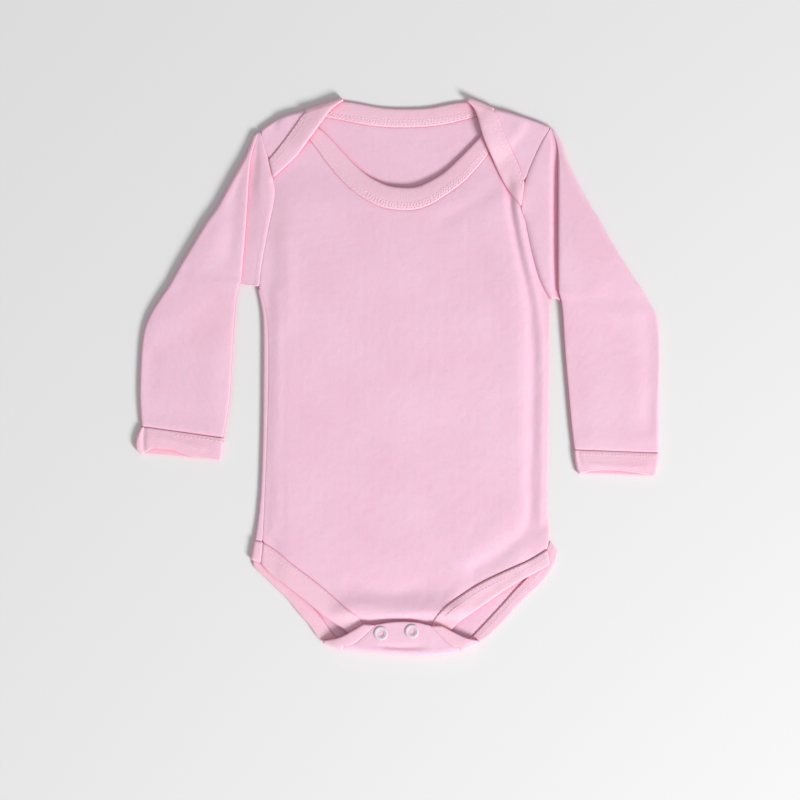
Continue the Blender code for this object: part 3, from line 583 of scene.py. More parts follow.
def sew(name, grids, wall, cloth, unroll, ring=False):
    """A piece of cloth from grids of points, joined where they share points, with its wall."""
    bm = bmesh.new()
    cloth_map = bm.loops.layers.uv.new("Cloth")
    for grid in grids:
        grid = np.array(grid)
        if ring:
            grid = np.concatenate([grid, grid[:, :1]], axis=1)
        places = unroll(grid)
        verts = [[bm.verts.new(point / 1000) for point in row] for row in grid]
        for i in range(len(grid) - 1):
            for j in range(len(grid[0]) - 1):
                corners = ((i, j), (i, j + 1), (i + 1, j + 1), (i + 1, j))
                face = bm.faces.new([verts[a][b] for a, b in corners])
                for loop, (a, b) in zip(face.loops, corners):
                    loop[cloth_map].uv = places[a, b]
    bmesh.ops.remove_doubles(bm, verts=bm.verts, dist=1e-5)
    bmesh.ops.recalc_face_normals(bm, faces=bm.faces)
    mesh = bpy.data.meshes.new(name)
    bm.to_mesh(mesh)
    bm.free()
    mesh.shade_smooth()
    mesh.materials.append(cloth)
    piece = bpy.data.objects.new(name, mesh)
    bpy.context.scene.collection.objects.link(piece)
    thick = piece.modifiers.new("Cloth wall", "SOLIDIFY")
    thick.thickness = wall / 1000
    thick.offset = 0
    thick.use_even_offset = cloth == BODY_CLOTH
    soft = piece.modifiers.new("Soft edges", "SUBSURF")
    soft.levels = soft.render_levels = 1
    return piece


def finish_cloth(piece, node, thread=()):
    """Puts a cut piece in place of its solid, which it hides, and puts the piece's thread with it.
    """
    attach(piece, "root")
    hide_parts(node)
    for rows in thread:
        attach(rows, "root")


SIDE_FOLDS = fold_line([BACK_LEG_LEFT[0][2:], *columns(SIDES, 0)[::-1]], 1, slice(1, 10))
LEFT_FOLDS = fold_line([*columns(LEFT_LAP, 0), BACK_NECK[0][2:]], 1, slice(0, 4))
RIGHT_FOLDS = fold_line([*columns(RIGHT_LAP, 0), BACK_NECK[-1][2:]], -1, slice(0, 4))
CROTCH_FOLDS = fold_line(CROTCH_FOLD, -1, slice(1, 5))


def armhole(table, first):
    """The armhole's line from the underarm up to the shoulder."""
    return curve(columns(table, first)[::-1])


def make_lap(table, fold, seam_table, rows, side):
    """A shoulder lap: the fold, and the cloth from it to the armhole and the neck binding."""
    turned = turn(fold, back_level, lap_level)
    seam = inset(curve(columns(table, 2)), side * SEAM)
    arm = inset(armhole(seam_table, 0)[::-1][: rows * STEPS + 1], side * SEAM)
    arm[0], arm[-1] = turned[-1][0][:2], seam[0]
    apex = between(turned[-1][-1][:2], seam[-1], rows * STEPS)
    cloth = raised(patch(turned[-1][:, :2], seam, arm, apex), lap_level)
    cloth[0] = turned[-1]
    return turned, cloth


def make_back():
    side_turn = turn(SIDE_FOLDS[1], back_level, front_level)
    side_seam = raised(curve(columns(SIDES, 2)[::-1]), front_level)
    side_seam[0][1] += SEAM
    side_seam[-1][1] -= 2 * SEAM
    left_arm = inset(armhole(LEFT_ARMHOLE, 2), -SEAM)
    right_arm = inset(armhole(RIGHT_ARMHOLE, 2), SEAM)
    right_side = curve(columns(SIDES, 4)[::-1])

    left_turn, left_lap = make_lap(LEFT_LAP, LEFT_FOLDS[1], LEFT_ARMHOLE, 2, 1)
    right_turn, right_lap = make_lap(RIGHT_LAP, RIGHT_FOLDS[1], RIGHT_ARMHOLE, 3, -1)
    seams = [left_turn[0][-1][:2], *columns(BACK_NECK, 0)[1:-1], right_turn[0][-1][:2]]
    neck = raised(inset(curve(seams, 2 * STEPS), -SEAM), back_level)
    top = np.concatenate([left_turn[0], neck[1:-1], right_turn[0][::-1]])

    crotch_turn = turn(CROTCH_FOLDS[1], back_level, flap_level)
    corners = [side_turn[0][0][:2], crotch_turn[0][0][:2], crotch_turn[0][-1][:2]]
    left_leg = [corners[0], *columns(BACK_LEG_LEFT, 0)[1:-1], corners[1]]
    right_leg = [*columns(BACK_LEG_RIGHT, 0)[:-1], corners[2]]
    left_leg = raised(inset(curve(left_leg), SEAM), back_level)
    right_leg = raised(inset(curve(right_leg), -SEAM), back_level)
    bottom = np.concatenate([left_leg[:-1], crotch_turn[0], right_leg[::-1][1:]])

    fold = crotch_turn[-1][:, :2]
    left_edge = inset(curve([fold[0], *columns(FLAP_LEFT, 0)]), -SEAM)
    right_edge = inset(curve([fold[-1], *columns(FLAP_RIGHT, 0)]), SEAM)
    left_edge[0], right_edge[0] = fold[0], fold[-1]
    hem = curve(FLAP_HEM)
    hem[0], hem[-1] = left_edge[-1], right_edge[-1]
    flap = raised(patch(fold, hem, left_edge, right_edge), flap_level)
    flap[0] = crotch_turn[-1]

    left = np.concatenate([side_turn[0], raised(left_arm[1:], back_level)])
    right = np.concatenate([raised(right_side, back_level), raised(right_arm[1:], back_level)])
    right[0] = right_leg[0]
    bottom[0], bottom[-1] = left[0], right[0]
    left[-1], right[-1] = top[0], top[-1]
    main = patch(bottom, top, left, right)
    main[..., 2] = BACK_LEVEL
    roll = np.concatenate([side_turn, between(side_turn[-1], side_seam, 2)[1:]])
    laps = [left_turn, left_lap, right_turn, right_lap]
    grids = [main, roll, *laps, crotch_turn, flap]
    return sew("back", grids, WALL, BODY_CLOTH, plan_map)


back = make_back()
finish_cloth(back, "back_panel")


# Front panel ------------------------------------------------------------------------------------
# The other cut of the body. It lies on the back, tucked under the laps at the shoulders and under
# the flap at the crotch, where it rolls over just above the flap.


def make_front():
    corner_left, corner_right = (-98.6, 168.6), (99.6, 170.4)
    left_side, right_side = curve(columns(SIDES, 2)[::-1]), curve(columns(SIDES, 4)[::-1])
    left = inset(np.vstack([left_side[:-1], armhole(LEFT_ARMHOLE, 0)]), -SEAM)
    right = inset(np.vstack([right_side[:-1], armhole(RIGHT_ARMHOLE, 0)]), SEAM)
    left, right = left[:-2], right[:-2]  # the shoulder's corner is a little below the armhole's end
    shoulder_left = [corner_left, (-92.0, 173.0), (-85.0, 176.4), FRONT_NECK[0][:2]]
    shoulder_right = [FRONT_NECK[-1][:2], (83.5, 176.6), (92.0, 174.4), corner_right]
    neck = inset(curve(columns(FRONT_NECK, 0)), -SEAM)
    top = np.concatenate([curve(shoulder_left)[:-1], neck, curve(shoulder_right)[1:]])
    left_leg = inset(curve(columns(FRONT_LEG_LEFT, 0)), SEAM)
    right_leg = inset(curve(columns(FRONT_LEG_RIGHT, 0)), -SEAM)
    split = 6 * STEPS  # where the leg bindings reach the narrow crotch
    cross = between(left_leg[split], right_leg[split], 8 * STEPS)
    hem = between(left_leg[-1], right_leg[-1], 8 * STEPS)
    crotch = patch(cross, hem, left_leg[split:], right_leg[split:])
    bottom = np.concatenate([left_leg[:split], cross, right_leg[:split][::-1]])
    left[0], right[0] = bottom[0], bottom[-1]
    left[-1], right[-1] = top[0], top[-1]
    grids = [raised(flat, front_level) for flat in (patch(bottom, top, left, right), crotch)]
    return sew("front", grids, WALL, BODY_CLOTH, plan_map)


front = make_front()
finish_cloth(front, "front_panel")


# Neck bindings ----------------------------------------------------------------------------------
# Strips of rib folded over the raw neck edges and held by a twin-needle stitch. The front one runs
# under both laps. The back one follows the lap, turns at the shoulder and crosses the back.

LEFT_LAP_BAND = [
    # seam_x, seam_y, free_x, free_y, from the armhole to the shoulder fold
    (-94.3, 153.0, -91.4, 139.5),
    (-87.0, 162.0, -75.6, 154.0),
    (-80.2, 170.8, -67.9, 163.8),
    (-74.4, 178.8, -59.6, 175.0),
    (-71.0, 183.8, -50.0, 188.0),
]
RIGHT_LAP_BAND = [
    # seam_x, seam_y, free_x, free_y, from the armhole to the shoulder fold
    (85.3, 136.6, 82.9, 119.2),
    (81.2, 148.6, 70.7, 135.8),
    (76.4, 159.4, 62.4, 153.6),
    (71.0, 171.0, 55.8, 168.6),
    (66.2, 183.6, 50.6, 186.6),
]
ROUND_EDGE = 0.22  # how much a folded strip's cloth swells between its seam and its free edge
SEAM_DROP = 0.25  # how far the strip is pressed down where it is sewn on
ROWS = [
    # from the seam at each end of a stitch, the pitch, and the part of the strip that shows them
    (1.3, 1.3, 3.0, 0.0, 1.0),
    (5.0, 5.0, 3.0, 0.0, 1.0),
]
CROSSED = [*ROWS, (1.8, 4.6, 2.2, 0.05, 0.95)]  # with the crossing thread between
CROSSED_BELOW = [*ROWS, (1.8, 4.6, 2.2, 0.36, 0.8)]
THREAD = 0.2  # the sewing thread's radius

THREAD_PINK = bpy.data.materials.new("pale pink thread")
THREAD_PINK.use_nodes = True
thread_tree = THREAD_PINK.node_tree
thread_shader = thread_tree.nodes["Principled BSDF"]
thread_shader.inputs["Roughness"].default_value = 0.55
thread_shader.inputs["Sheen Weight"].default_value = 0.3
thread_twist = thread_tree.nodes.new("ShaderNodeTexWave")
thread_twist.bands_direction = "DIAGONAL"
thread_twist.inputs["Scale"].default_value = 700
thread_twist.inputs["Distortion"].default_value = 1.5
thread_place = thread_tree.nodes.new("ShaderNodeTexCoord")
thread_tree.links.new(thread_place.outputs["Object"], thread_twist.inputs["Vector"])
thread_tone = thread_tree.nodes.new("ShaderNodeMix")
thread_tone.data_type = "RGBA"
thread_tone.inputs["A"].default_value = (0.86, 0.60, 0.70, 1)
thread_tone.inputs["B"].default_value = (0.95, 0.76, 0.83, 1)
thread_tree.links.new(thread_twist.outputs["Fac"], thread_tone.inputs["Factor"])
thread_tree.links.new(thread_tone.outputs["Result"], thread_shader.inputs["Base Color"])


def stitches(name, table, rows, level):
    """Rows of short stitches along a strip's seam, each a thread that dips in at both ends."""
    sections = curve(table, 8)
    seam, free = sections[:, :2], sections[:, 2:]
    across_strip = (free - seam) / np.linalg.norm(free - seam, axis=1)[:, None]
    run = np.concatenate([[0.0], np.cumsum(np.linalg.norm(np.diff(seam, axis=0), axis=1))])
    bm = bmesh.new()
    for first, last, pitch, begin, end in rows:
        length = 0.78 * pitch if first == last else 0.25 * pitch
        for start in np.arange(begin * run[-1] + 1.5, end * run[-1] - pitch, pitch):
            t = np.linspace(0, 1, 6)
            away = first + (last - first) * t
            places = start + length * t
            x, y = (
                np.interp(places, run, seam[:, k])
                + away * np.interp(places, run, across_strip[:, k])
                for k in (0, 1)
            )
            sink = THREAD * (0.3 - 1.5 * np.linspace(-1, 1, 6) ** 4)
            u = away / 15
            crown = ROUND_EDGE * np.sin(math.pi * u) - SEAM_DROP * (1 - u) ** 3
            z = level(x, y) + BAND / 2 + crown + sink
            along = np.array([x[-1] - x[0], y[-1] - y[0]])
            along /= np.linalg.norm(along)
            rings = []
            for a, b, c in zip(x, y, z):
                ring = []
                for angle in np.linspace(0, math.tau, 7)[:-1]:
                    out, up = THREAD * math.cos(angle), THREAD * math.sin(angle)
                    spot = (a - along[1] * out, b + along[0] * out, c + up)
                    ring.append(bm.verts.new([value / 1000 for value in spot]))
                rings.append(ring)
            for low, high in zip(rings, rings[1:]):
                for k in range(6):
                    bm.faces.new((low[k], low[k - 1], high[k - 1], high[k]))
            bm.faces.new(rings[0])
            bm.faces.new(rings[-1][::-1])
    bmesh.ops.recalc_face_normals(bm, faces=bm.faces)
    mesh = bpy.data.meshes.new(name)
    bm.to_mesh(mesh)
    bm.free()
    mesh.shade_smooth()
    mesh.materials.append(THREAD_PINK)
    thread = bpy.data.objects.new(name, mesh)
    bpy.context.scene.collection.objects.link(thread)
    return thread


def across(row, level):
    """A binding's section from its seam, where it is pressed down, to its free edge."""
    seam, free = np.array(row[:2]), np.array(row[2:])
    places = between(seam, free, STEPS + 2)
    section = raised(places, level)
    t = np.linspace(0, 1, STEPS + 3)
    section[:, 2] += ROUND_EDGE * np.sin(math.pi * t) - SEAM_DROP * (1 - t) ** 3
    return section


def ends(section):
    """A section's seam and free edge in the plane, as a row of a binding's table."""
    return (*section[0][:2], *section[-1][:2])


def binding_fold(fold, first, last):
    """The part of a fold that a binding takes, with as many points as its sections have."""
    line, outward = part_of(fold, first, last)
    t = np.linspace(0, 1, STEPS + 3)[:, None]
    straight = line[0] + (line[-1] - line[0]) * t
    facing = outward[0] + (outward[-1] - outward[0]) * t
    return straight, facing / np.linalg.norm(facing, axis=1)[:, None]


front_rows = [across(row, front_band_level) for row in curve(FRONT_NECK)]
front_neck = sew("front_neck", [front_rows], BAND, RIB_CLOTH, strip_map)
front_neck_thread = stitches("front_neck_stitches", FRONT_NECK, CROSSED_BELOW, front_band_level)
finish_cloth(
    front_neck,
    "front_neck_binding",
    [front_neck_thread],
)


def make_back_neck():
    turns = []
    rows = []
    for table, fold in ((LEFT_LAP_BAND, LEFT_FOLDS[0]), (RIGHT_LAP_BAND, RIGHT_FOLDS[0])):
        turned = turn(binding_fold(fold, 4, 5), back_band_level, lap_band_level)
        lap = [across(row, lap_band_level) for row in curve([*table, ends(turned[-1])])]
        rows.append([*lap[:-1], *turned[::-1]])
        turns.append(ends(turned[0]))
    back_rows = curve([turns[0], *BACK_NECK[1:-1], turns[1]], 2 * STEPS)[1:-1]
    back_rows = [across(row, back_band_level) for row in back_rows]
    strip = [*rows[0], *back_rows, *rows[1][::-1]]
    return sew("back_neck", [strip], BAND, RIB_CLOTH, strip_map)


back_neck = make_back_neck()
back_neck_thread = [
    stitches("back_neck_stitches", BACK_NECK, CROSSED, back_band_level),
    stitches("left_lap_stitches", LEFT_LAP_BAND, ROWS, lap_band_level),
    stitches("right_lap_stitches", RIGHT_LAP_BAND, ROWS, lap_band_level),
]
finish_cloth(
    back_neck,
    "back_neck_binding",
    back_neck_thread,
)


# Leg bindings -----------------------------------------------------------------------------------
# Strips of the same rib round the legs. Each front strip was sewn on before the side seams, and
# each back strip runs on past the crotch fold and up the flap's side.

LEG_BINDINGS = (
    # name, table of the front strip
    ("left", FRONT_LEG_LEFT),
    ("right", FRONT_LEG_RIGHT),
)


def make_front_leg(side, table):
    rows = [across(row, front_band_level) for row in curve(table)]
    return sew(f"front_leg_{side}", [rows], BAND, RIB_CLOTH, strip_map)


def make_back_leg_left():
    wrap = turn(binding_fold(SIDE_FOLDS[0], 0, 1), back_band_level, front_band_level)[:, ::-1]
    seam = across((*SIDES[-1][2:4], *FRONT_LEG_LEFT[0][2:]), front_band_level)
    seam[:, 0] -= SEAM
    crotch = turn(binding_fold(CROTCH_FOLDS[0], 0, 1), back_band_level, flap_band_level)[:, ::-1]
    leg = curve([ends(wrap[0]), *BACK_LEG_LEFT[1:-1], ends(crotch[0])])[1:-1]
    leg = [across(row, back_band_level) for row in leg]
    flap = curve([ends(crotch[-1]), *FLAP_LEFT])[1:]
    flap = [across(row, flap_band_level) for row in flap]
    strip = [*between(seam, wrap[-1], 2), *wrap[::-1][1:], *leg, *crotch, *flap]
    return sew("back_leg_left", [strip], BAND, RIB_CLOTH, strip_map)


def make_back_leg_right():
    crotch = turn(binding_fold(CROTCH_FOLDS[0], 5, 6), back_band_level, flap_band_level)
    leg = curve([*BACK_LEG_RIGHT[:-1], ends(crotch[0])])[:-1]
    leg = [across(row, back_band_level) for row in leg]
    flap = curve([ends(crotch[-1]), *FLAP_RIGHT])[1:]
    flap = [across(row, flap_band_level) for row in flap]
    return sew("back_leg_right", [[*leg, *crotch, *flap]], BAND, RIB_CLOTH, strip_map)


for side, table in LEG_BINDINGS:
    strip = make_front_leg(side, table)
    thread = stitches(f"front_leg_{side}_stitches", table, ROWS, front_band_level)
    node = f"leg_binding_front_{side}"
    finish_cloth(strip, node, [thread])
for side, strip, leg in (
    ("left", make_back_leg_left(), BACK_LEG_LEFT),
    ("right", make_back_leg_right(), BACK_LEG_RIGHT),
):
    thread = [stitches(f"back_leg_{side}_stitches", leg, ROWS, back_band_level)]
    node = f"leg_binding_back_{side}"
    finish_cloth(strip, node, thread)


# Sleeves ----------------------------------------------------------------------------------------
# Set-in sleeves of interlock, each a tube folded down flat beside the body. The spare cloth of the
# sleeve's head lies in one Z-shaped pleat beside the armhole and fades out below the underarm.

ARMHOLE_ROWS = 10  # of a sleeve's rows, those that are sewn to the body
SLEEVE_BACK_LEVEL = WALL / 2 + 0.05
LEFT_SLEEVE = [
    # seam_x, seam_y, pleat_x, pleat_y, fold_x, fold_y, back_x, back_y, depth, cap, low, top
    (-100.4, 172.8, -101.6, 171.9, -104.6, 169.8, -100.6, 172.6, 0.0, 3.1, 3.1, 3.2),
    (-96.6, 161.2, -105.4, 160.0, -108.8, 159.6, -98.9, 160.0, 0.0, 3.6, 2.9, 4.0),
    (-94.0, 153.0, -107.6, 151.5, -112.6, 151.6, -97.6, 150.0, 0.8, 3.8, 2.3, 4.4),
    (-91.0, 139.6, -109.0, 139.0, -118.6, 141.4, -96.4, 138.0, 3.0, 3.8, 1.9, 4.5),
    (-89.4, 130.5, -109.6, 128.5, -124.2, 131.2, -95.8, 126.0, 4.0, 3.6, 1.9, 4.5),
    (-90.9, 119.5, -110.4, 116.5, -130.8, 119.0, -95.8, 114.0, 4.5, 3.3, 1.9, 4.5),
    (-93.6, 107.5, -111.2, 104.5, -138.0, 109.2, -96.4, 102.0, 4.5, 3.0, 1.9, 4.5),
    (-96.5, 92.5, -112.3, 91.5, -145.8, 96.4, -97.6, 90.0, 4.5, 2.8, 1.9, 4.5),
    (-99.3, 76.5, -113.4, 78.5, -152.0, 86.2, -99.4, 76.0, 4.0, 2.6, 1.9, 4.5),
    (-100.6, 64.0, -114.0, 70.6, -157.4, 77.0, -101.8, 64.0, 2.0, 2.3, 1.9, 4.3),
    (-108.4, 65.2, -114.4, 66.9, -161.0, 70.4, -108.4, 65.2, 0.6, 2.1, 1.9, 4.15),
    (-114.4, 65.6, -115.4, 65.4, -164.6, 63.8, -114.4, 65.6, 0.0, 1.9, 1.8, 4.0),
    (-116.4, 56.5, -117.4, 56.4, -170.2, 55.8, -116.4, 56.5, 0.0, 1.8, 1.8, 3.8),
    (-117.6, 42.0, -118.6, 42.0, -178.4, 42.0, -117.6, 42.0, 0.0, 1.8, 1.8, 3.5),
    (-118.6, 28.0, -119.6, 28.0, -182.6, 27.5, -118.6, 28.0, 0.0, 1.8, 1.8, 3.2),
    (-119.8, 6.0, -120.8, 6.0, -184.2, 5.0, -119.8, 6.0, 0.0, 1.8, 1.8, 3.2),
    (-121.4, -17.0, -122.4, -17.0, -184.6, -14.0, -121.4, -17.0, 0.0, 1.8, 1.8, 3.2),
    (-125.6, -42.2, -126.6, -42.0, -183.2, -34.0, -125.6, -42.2, 0.0, 1.8, 1.8, 3.2),
]
RIGHT_SLEEVE = [
    (103.5, 175.2, 104.3, 174.5, 106.8, 172.4, 103.5, 175.0, 0.0, 3.1, 3.1, 3.2),
    (97.3, 166.0, 108.2, 163.4, 111.8, 163.2, 100.6, 164.0, 0.0, 3.6, 2.9, 4.0),
    (90.2, 151.5, 109.6, 151.6, 115.2, 152.4, 98.0, 150.0, 0.8, 4.3, 2.1, 5.0),
    (84.9, 136.8, 109.9, 138.0, 121.6, 138.6, 96.2, 136.0, 3.0, 4.5, 1.9, 5.6),
    (82.4, 119.4, 109.9, 120.0, 131.6, 120.2, 95.2, 118.0, 4.0, 4.6, 1.9, 5.8),
    (85.4, 109.6, 109.9, 108.5, 138.4, 109.6, 95.2, 106.0, 4.0, 4.6, 1.9, 5.8),
    (88.2, 96.0, 109.9, 95.5, 145.4, 96.6, 96.0, 93.0, 4.0, 4.6, 1.9, 5.8),
    (91.9, 81.0, 109.9, 82.0, 152.6, 84.4, 97.8, 80.0, 4.0, 4.6, 1.9, 5.8),
    (96.2, 67.9, 109.9, 70.4, 159.6, 73.6, 100.2, 67.0, 3.0, 4.2, 1.9, 5.4),
    (103.0, 55.0, 109.9, 60.5, 165.2, 65.2, 103.2, 55.0, 1.2, 3.4, 1.9, 4.9),
    (107.4, 55.6, 110.6, 57.0, 168.6, 60.0, 107.4, 55.6, 0.4, 2.5, 1.9, 4.5),
    (110.6, 52.8, 111.6, 52.9, 172.2, 53.4, 110.6, 52.8, 0.0, 1.8, 1.8, 4.0),
    (111.6, 43.0, 112.6, 43.0, 178.2, 43.0, 111.6, 43.0, 0.0, 1.8, 1.8, 3.75),
    (112.4, 29.0, 113.4, 29.0, 180.2, 29.0, 112.4, 29.0, 0.0, 1.8, 1.8, 3.45),
    (114.0, 8.5, 115.0, 8.5, 180.4, 8.5, 114.0, 8.5, 0.0, 1.8, 1.8, 3.2),
    (116.2, -16.8, 117.2, -16.8, 179.4, -16.0, 116.2, -16.8, 0.0, 1.8, 1.8, 3.2),
    (117.8, -34.0, 118.8, -34.0, 179.2, -36.0, 117.8, -34.0, 0.0, 1.8, 1.8, 3.2),
    (119.8, -50.4, 120.8, -50.4, 179.2, -52.6, 119.8, -50.4, 0.0, 1.8, 1.8, 3.2),
]
SLEEVE_CREASES = [
    # points, width, height
    ([(173, 44), (172.5, 10), (171.5, -36)], 2.5, -1.15),
    ([(167, 30), (166, 0), (164, -30)], 7.0, 0.3),
    ([(118, 60), (140, 48), (164, 46)], 8.0, 0.5),
    ([(122, 100), (130, 84), (138, 66)], 7.0, 0.5),
    ([(119, 20), (121, -10), (124, -44)], 3.0, -0.5),
    ([(126, -40), (148, -44), (170, -42)], 5.0, 0.35),
    ([(-178, 30), (-156, 46), (-132, 64)], 9.0, 0.5),
    ([(-176, 20), (-177, -6), (-175, -30)], 3.0, -0.5),
    ([(-117, 140), (-119, 110), (-122, 84)], 5.0, -0.6),
    ([(-130, 100), (-138, 84), (-146, 66)], 7.0, 0.4),
    ([(-128, 30), (-134, 0), (-136, -34)], 7.0, 0.35),
    ([(-135, -30), (-150, -26), (-168, -24)], 6.0, -0.4),
]
OPEN_PLEAT = {
    # y, width left open beside the pleat's fold, width of the slope from the cap
    "left": ((60, 85, 115, 150, 165), (1.6, 1.8, 3.0, 4.4, 3.4), (12.0, 12.0, 10.0, 5.0, 2.0)),
    "right": ((52, 75, 110, 150, 168), (3.6, 4.4, 4.8, 4.6, 3.4), (2.0, 2.2, 2.2, 2.2, 1.6)),
}


def sleeve_section(row, on_body, side):
    """Points round one section: cap, pleat, front layer, outer fold and back layer."""
    seam, pleat, fold, back_seam = (np.array(row[k : k + 2]) for k in (0, 2, 4, 6))
    depth, cap, low, top = row[8:]
    depth = max(depth, 0.0)
    cap_width = np.linalg.norm(pleat - seam)
    front_width = np.linalg.norm(fold - pleat)
    inward, outward = (pleat - seam) / cap_width, (fold - pleat) / front_width
    edge = cap if on_body is None else on_body
    rise = (top - low) / 4
    swing = rise * min(1.0, depth / 1.5)
    radius = (top - SLEEVE_BACK_LEVEL) / 2
    rim = front_width - WALL / 2 - radius
    heights, widths, slopes = OPEN_PLEAT[side]
    floor_end = min(np.interp(pleat[1], heights, widths), 0.35 * cap_width)
    slope = min(np.interp(pleat[1], heights, slopes), 0.75 * cap_width - floor_end)
    flat_end = floor_end + slope
    along_front = [
        # along the section from the pleat's edge, height
        (-cap_width, edge),
        (-cap_width * 0.9, (edge + 2 * cap) / 3 + 0.2),
        (-cap_width * 0.8, cap + 0.1),
        (-(cap_width * 0.8 + flat_end) / 2, cap),
        (-flat_end, cap - 0.05),
        (-floor_end - 0.7 * slope, cap + 0.18 * (low - cap)),
        (-floor_end - 0.35 * slope, cap + 0.62 * (low - cap)),
        (-floor_end, low),
        (-0.5 * floor_end, low),
        (depth, low),
        (depth + 0.7 * swing, low + 0.3 * rise),
        (depth + swing, low + rise),
        (depth + 0.7 * swing, low + 1.6 * rise),
        (depth, low + 1.9 * rise),
        (0.0, low + 2.1 * rise),
        (-0.7 * swing, low + 2.4 * rise),
        (-swing, low + 3 * rise),
        (-0.7 * swing, low + 3.6 * rise),
        (0.0, top),
    ]
    along_front += [(rim * t, top) for t in np.linspace(0, 1, 12)[1:-1]]
    for angle in np.linspace(math.pi / 2, -math.pi / 2, TURN_STEPS + 1):
        height = SLEEVE_BACK_LEVEL + radius * (1 + math.sin(angle))
        along_front.append((rim + radius * math.cos(angle), height))
    points = []
    for place, height in along_front:
        x, y = pleat + (inward if place < 0 else outward) * place
        from_rim = ease(place / 5) * ease((rim - place) / 5)
        points.append((x, y, height + from_rim * relief(x, y, SLEEVE_CREASES)))
    start = np.array(points[-1][:2])
    for t in np.linspace(0, 1, 9)[1:]:
        points.append((*(start + (back_seam - start) * t), SLEEVE_BACK_LEVEL))
    return points


def make_sleeve(name, table, lap_rows, side):
    """The lap's rows of the armhole are sewn to the shoulder lap, the others to the front."""
    upper = curve(table[:ARMHOLE_ROWS])
    lower = curve(table[ARMHOLE_ROWS - 1 :])
    sections = []
    for index, row in enumerate(np.vstack([upper, lower[1:]])):
        on_body = None
        if index <= lap_rows * STEPS:
            on_body = float(lap_level(row[0], row[1]))
        elif index <= (ARMHOLE_ROWS - 1) * STEPS:
            on_body = float(front_level(row[0], row[1]))
        sections.append(sleeve_section(row, on_body, side))
    return sew(name, [sections], WALL, SLEEVE_CLOTH, length_map)


for side, table, lap_rows in (("left", LEFT_SLEEVE, 3), ("right", RIGHT_SLEEVE, 4)):
    sleeve = make_sleeve(f"sleeve_of_{side}", table, lap_rows, side)
    finish_cloth(sleeve, f"sleeve_{side}")


# Cuffs ------------------------------------------------------------------------------------------
# Bands of rib folded in two and sewn round the sleeve ends with a twin-needle stitch. They lie
# flat, and the back layer looks out a little below the front one.

CUFF = 1.6  # both layers of a folded cuff
CUFF_LEVEL = 3.3  # middle of a cuff's front
CUFF_BACK_LEVEL = CUFF / 2 + 0.1
CUFF_ACROSS = 40
CUFF_FRONT = {
    # how far the front is lifted off the back's mouth edge, from the inner end to the outer one
    "left": (0.0, 0.2, 0.5, 1.2, 3.0, 4.6, 4.8, 4.6, 0.5),
    "right": (0.0, 2.0, 2.8, 3.2, 3.2, 2.8, 2.2, 1.2, 0.0),
}
CUFF_CREASES = [
    # points, width, height
    ([(-181.2, -32), (-181.8, -44), (-181.4, -54)], 1.3, -1.3),
    ([(122.5, -52), (124.5, -60), (128, -66)], 1.6, -0.5),
    ([(132, -62), (150, -63.5), (170, -63)], 2.0, 0.3),
    ([(-170, -43), (-156, -46), (-140, -49)], 2.2, 0.3),
]
LEFT_CUFF = [
    # inner_x, inner_y, outer_x, outer_y, from the sleeve to the mouth
    (-125.4, -42.0, -183.4, -33.8),
    (-126.0, -48.0, -187.0, -42.0),
    (-126.6, -53.0, -187.4, -49.0),
    (-127.0, -58.0, -183.6, -53.0),
]
RIGHT_CUFF = [
    (119.6, -50.2, 179.4, -52.4),
    (120.2, -56.5, 179.0, -58.6),
    (121.2, -62.0, 178.2, -64.0),
    (122.6, -67.2, 176.8, -69.0),
]


def make_cuff(name, table, side):
    radius = (CUFF_LEVEL - CUFF_BACK_LEVEL) / 2
    angles = np.linspace(math.pi / 2, -math.pi / 2, TURN_STEPS + 1)[1:-1]
    rows = curve(table)
    sections = []
    for index, row in enumerate(rows):
        inner, outer = np.array(row[:2]), np.array(row[2:])
        outward = (outer - inner) / np.linalg.norm(outer - inner)
        width = np.linalg.norm(outer - inner) - CUFF - 2 * radius
        start = inner + outward * (CUFF / 2 + radius)
        down = index / (len(rows) - 1)
        section = []
        for t in np.linspace(0, 1, CUFF_ACROSS):
            x, y = start + outward * width * t
            lift = down**1.5 * np.interp(t, np.linspace(0, 1, 9), CUFF_FRONT[side])
            crown = ROUND_EDGE * math.sin(math.pi * down) - SEAM_DROP * (1 - down) ** 3
            crown = crown * ease(t * (1 - t) * 12) + float(relief(x, y, CUFF_CREASES))
            section.append((x, y + lift, CUFF_LEVEL + crown))
        for angle in angles:
            place = start + outward * (width + radius * math.cos(angle))
            section.append((*place, CUFF_BACK_LEVEL + radius * (1 + math.sin(angle))))
        for t in np.linspace(1, 0, CUFF_ACROSS):
            section.append((*(start + outward * width * t), CUFF_BACK_LEVEL))
        for angle in angles[::-1]:
            place = start - outward * radius * math.cos(angle)
            section.append((*place, CUFF_BACK_LEVEL + radius * (1 + math.sin(angle))))
        sections.append(section)
    return sew(name, [sections], CUFF, RIB_CLOTH, strip_map, ring=True)


def cuff_seam(table):
    """The cuff's front as rows from its upper seam to its mouth, for the stitches along it."""
    x0, y0, x1, y1 = table[0]
    x2, y2 = table[-1][:2]
    start, reach = np.array([x0 + 3, y0]), np.array([x1 - x0, y1 - y0]) * 0.93
    down = np.array([x2 - x0, y2 - y0])
    return [(*(start + reach * t), *(start + reach * t + down)) for t in np.linspace(0, 1, 5)]


def cuff_top(x, y):
    return np.full(np.shape(x), CUFF_LEVEL + (CUFF - BAND) / 2 + 0.05)


for side, table in (("left", LEFT_CUFF), ("right", RIGHT_CUFF)):
    cuff = make_cuff(f"cuff_of_{side}", table, side)
    ticks = [(1.6, 3.8, 2.2, 0, 1)] if side == "right" else [(3.0, 3.0, 3.0, 0, 0.7)]
    thread = stitches(f"cuff_{side}_stitches", cuff_seam(table), ticks, cuff_top)
    finish_cloth(cuff, f"cuff_{side}", [thread])


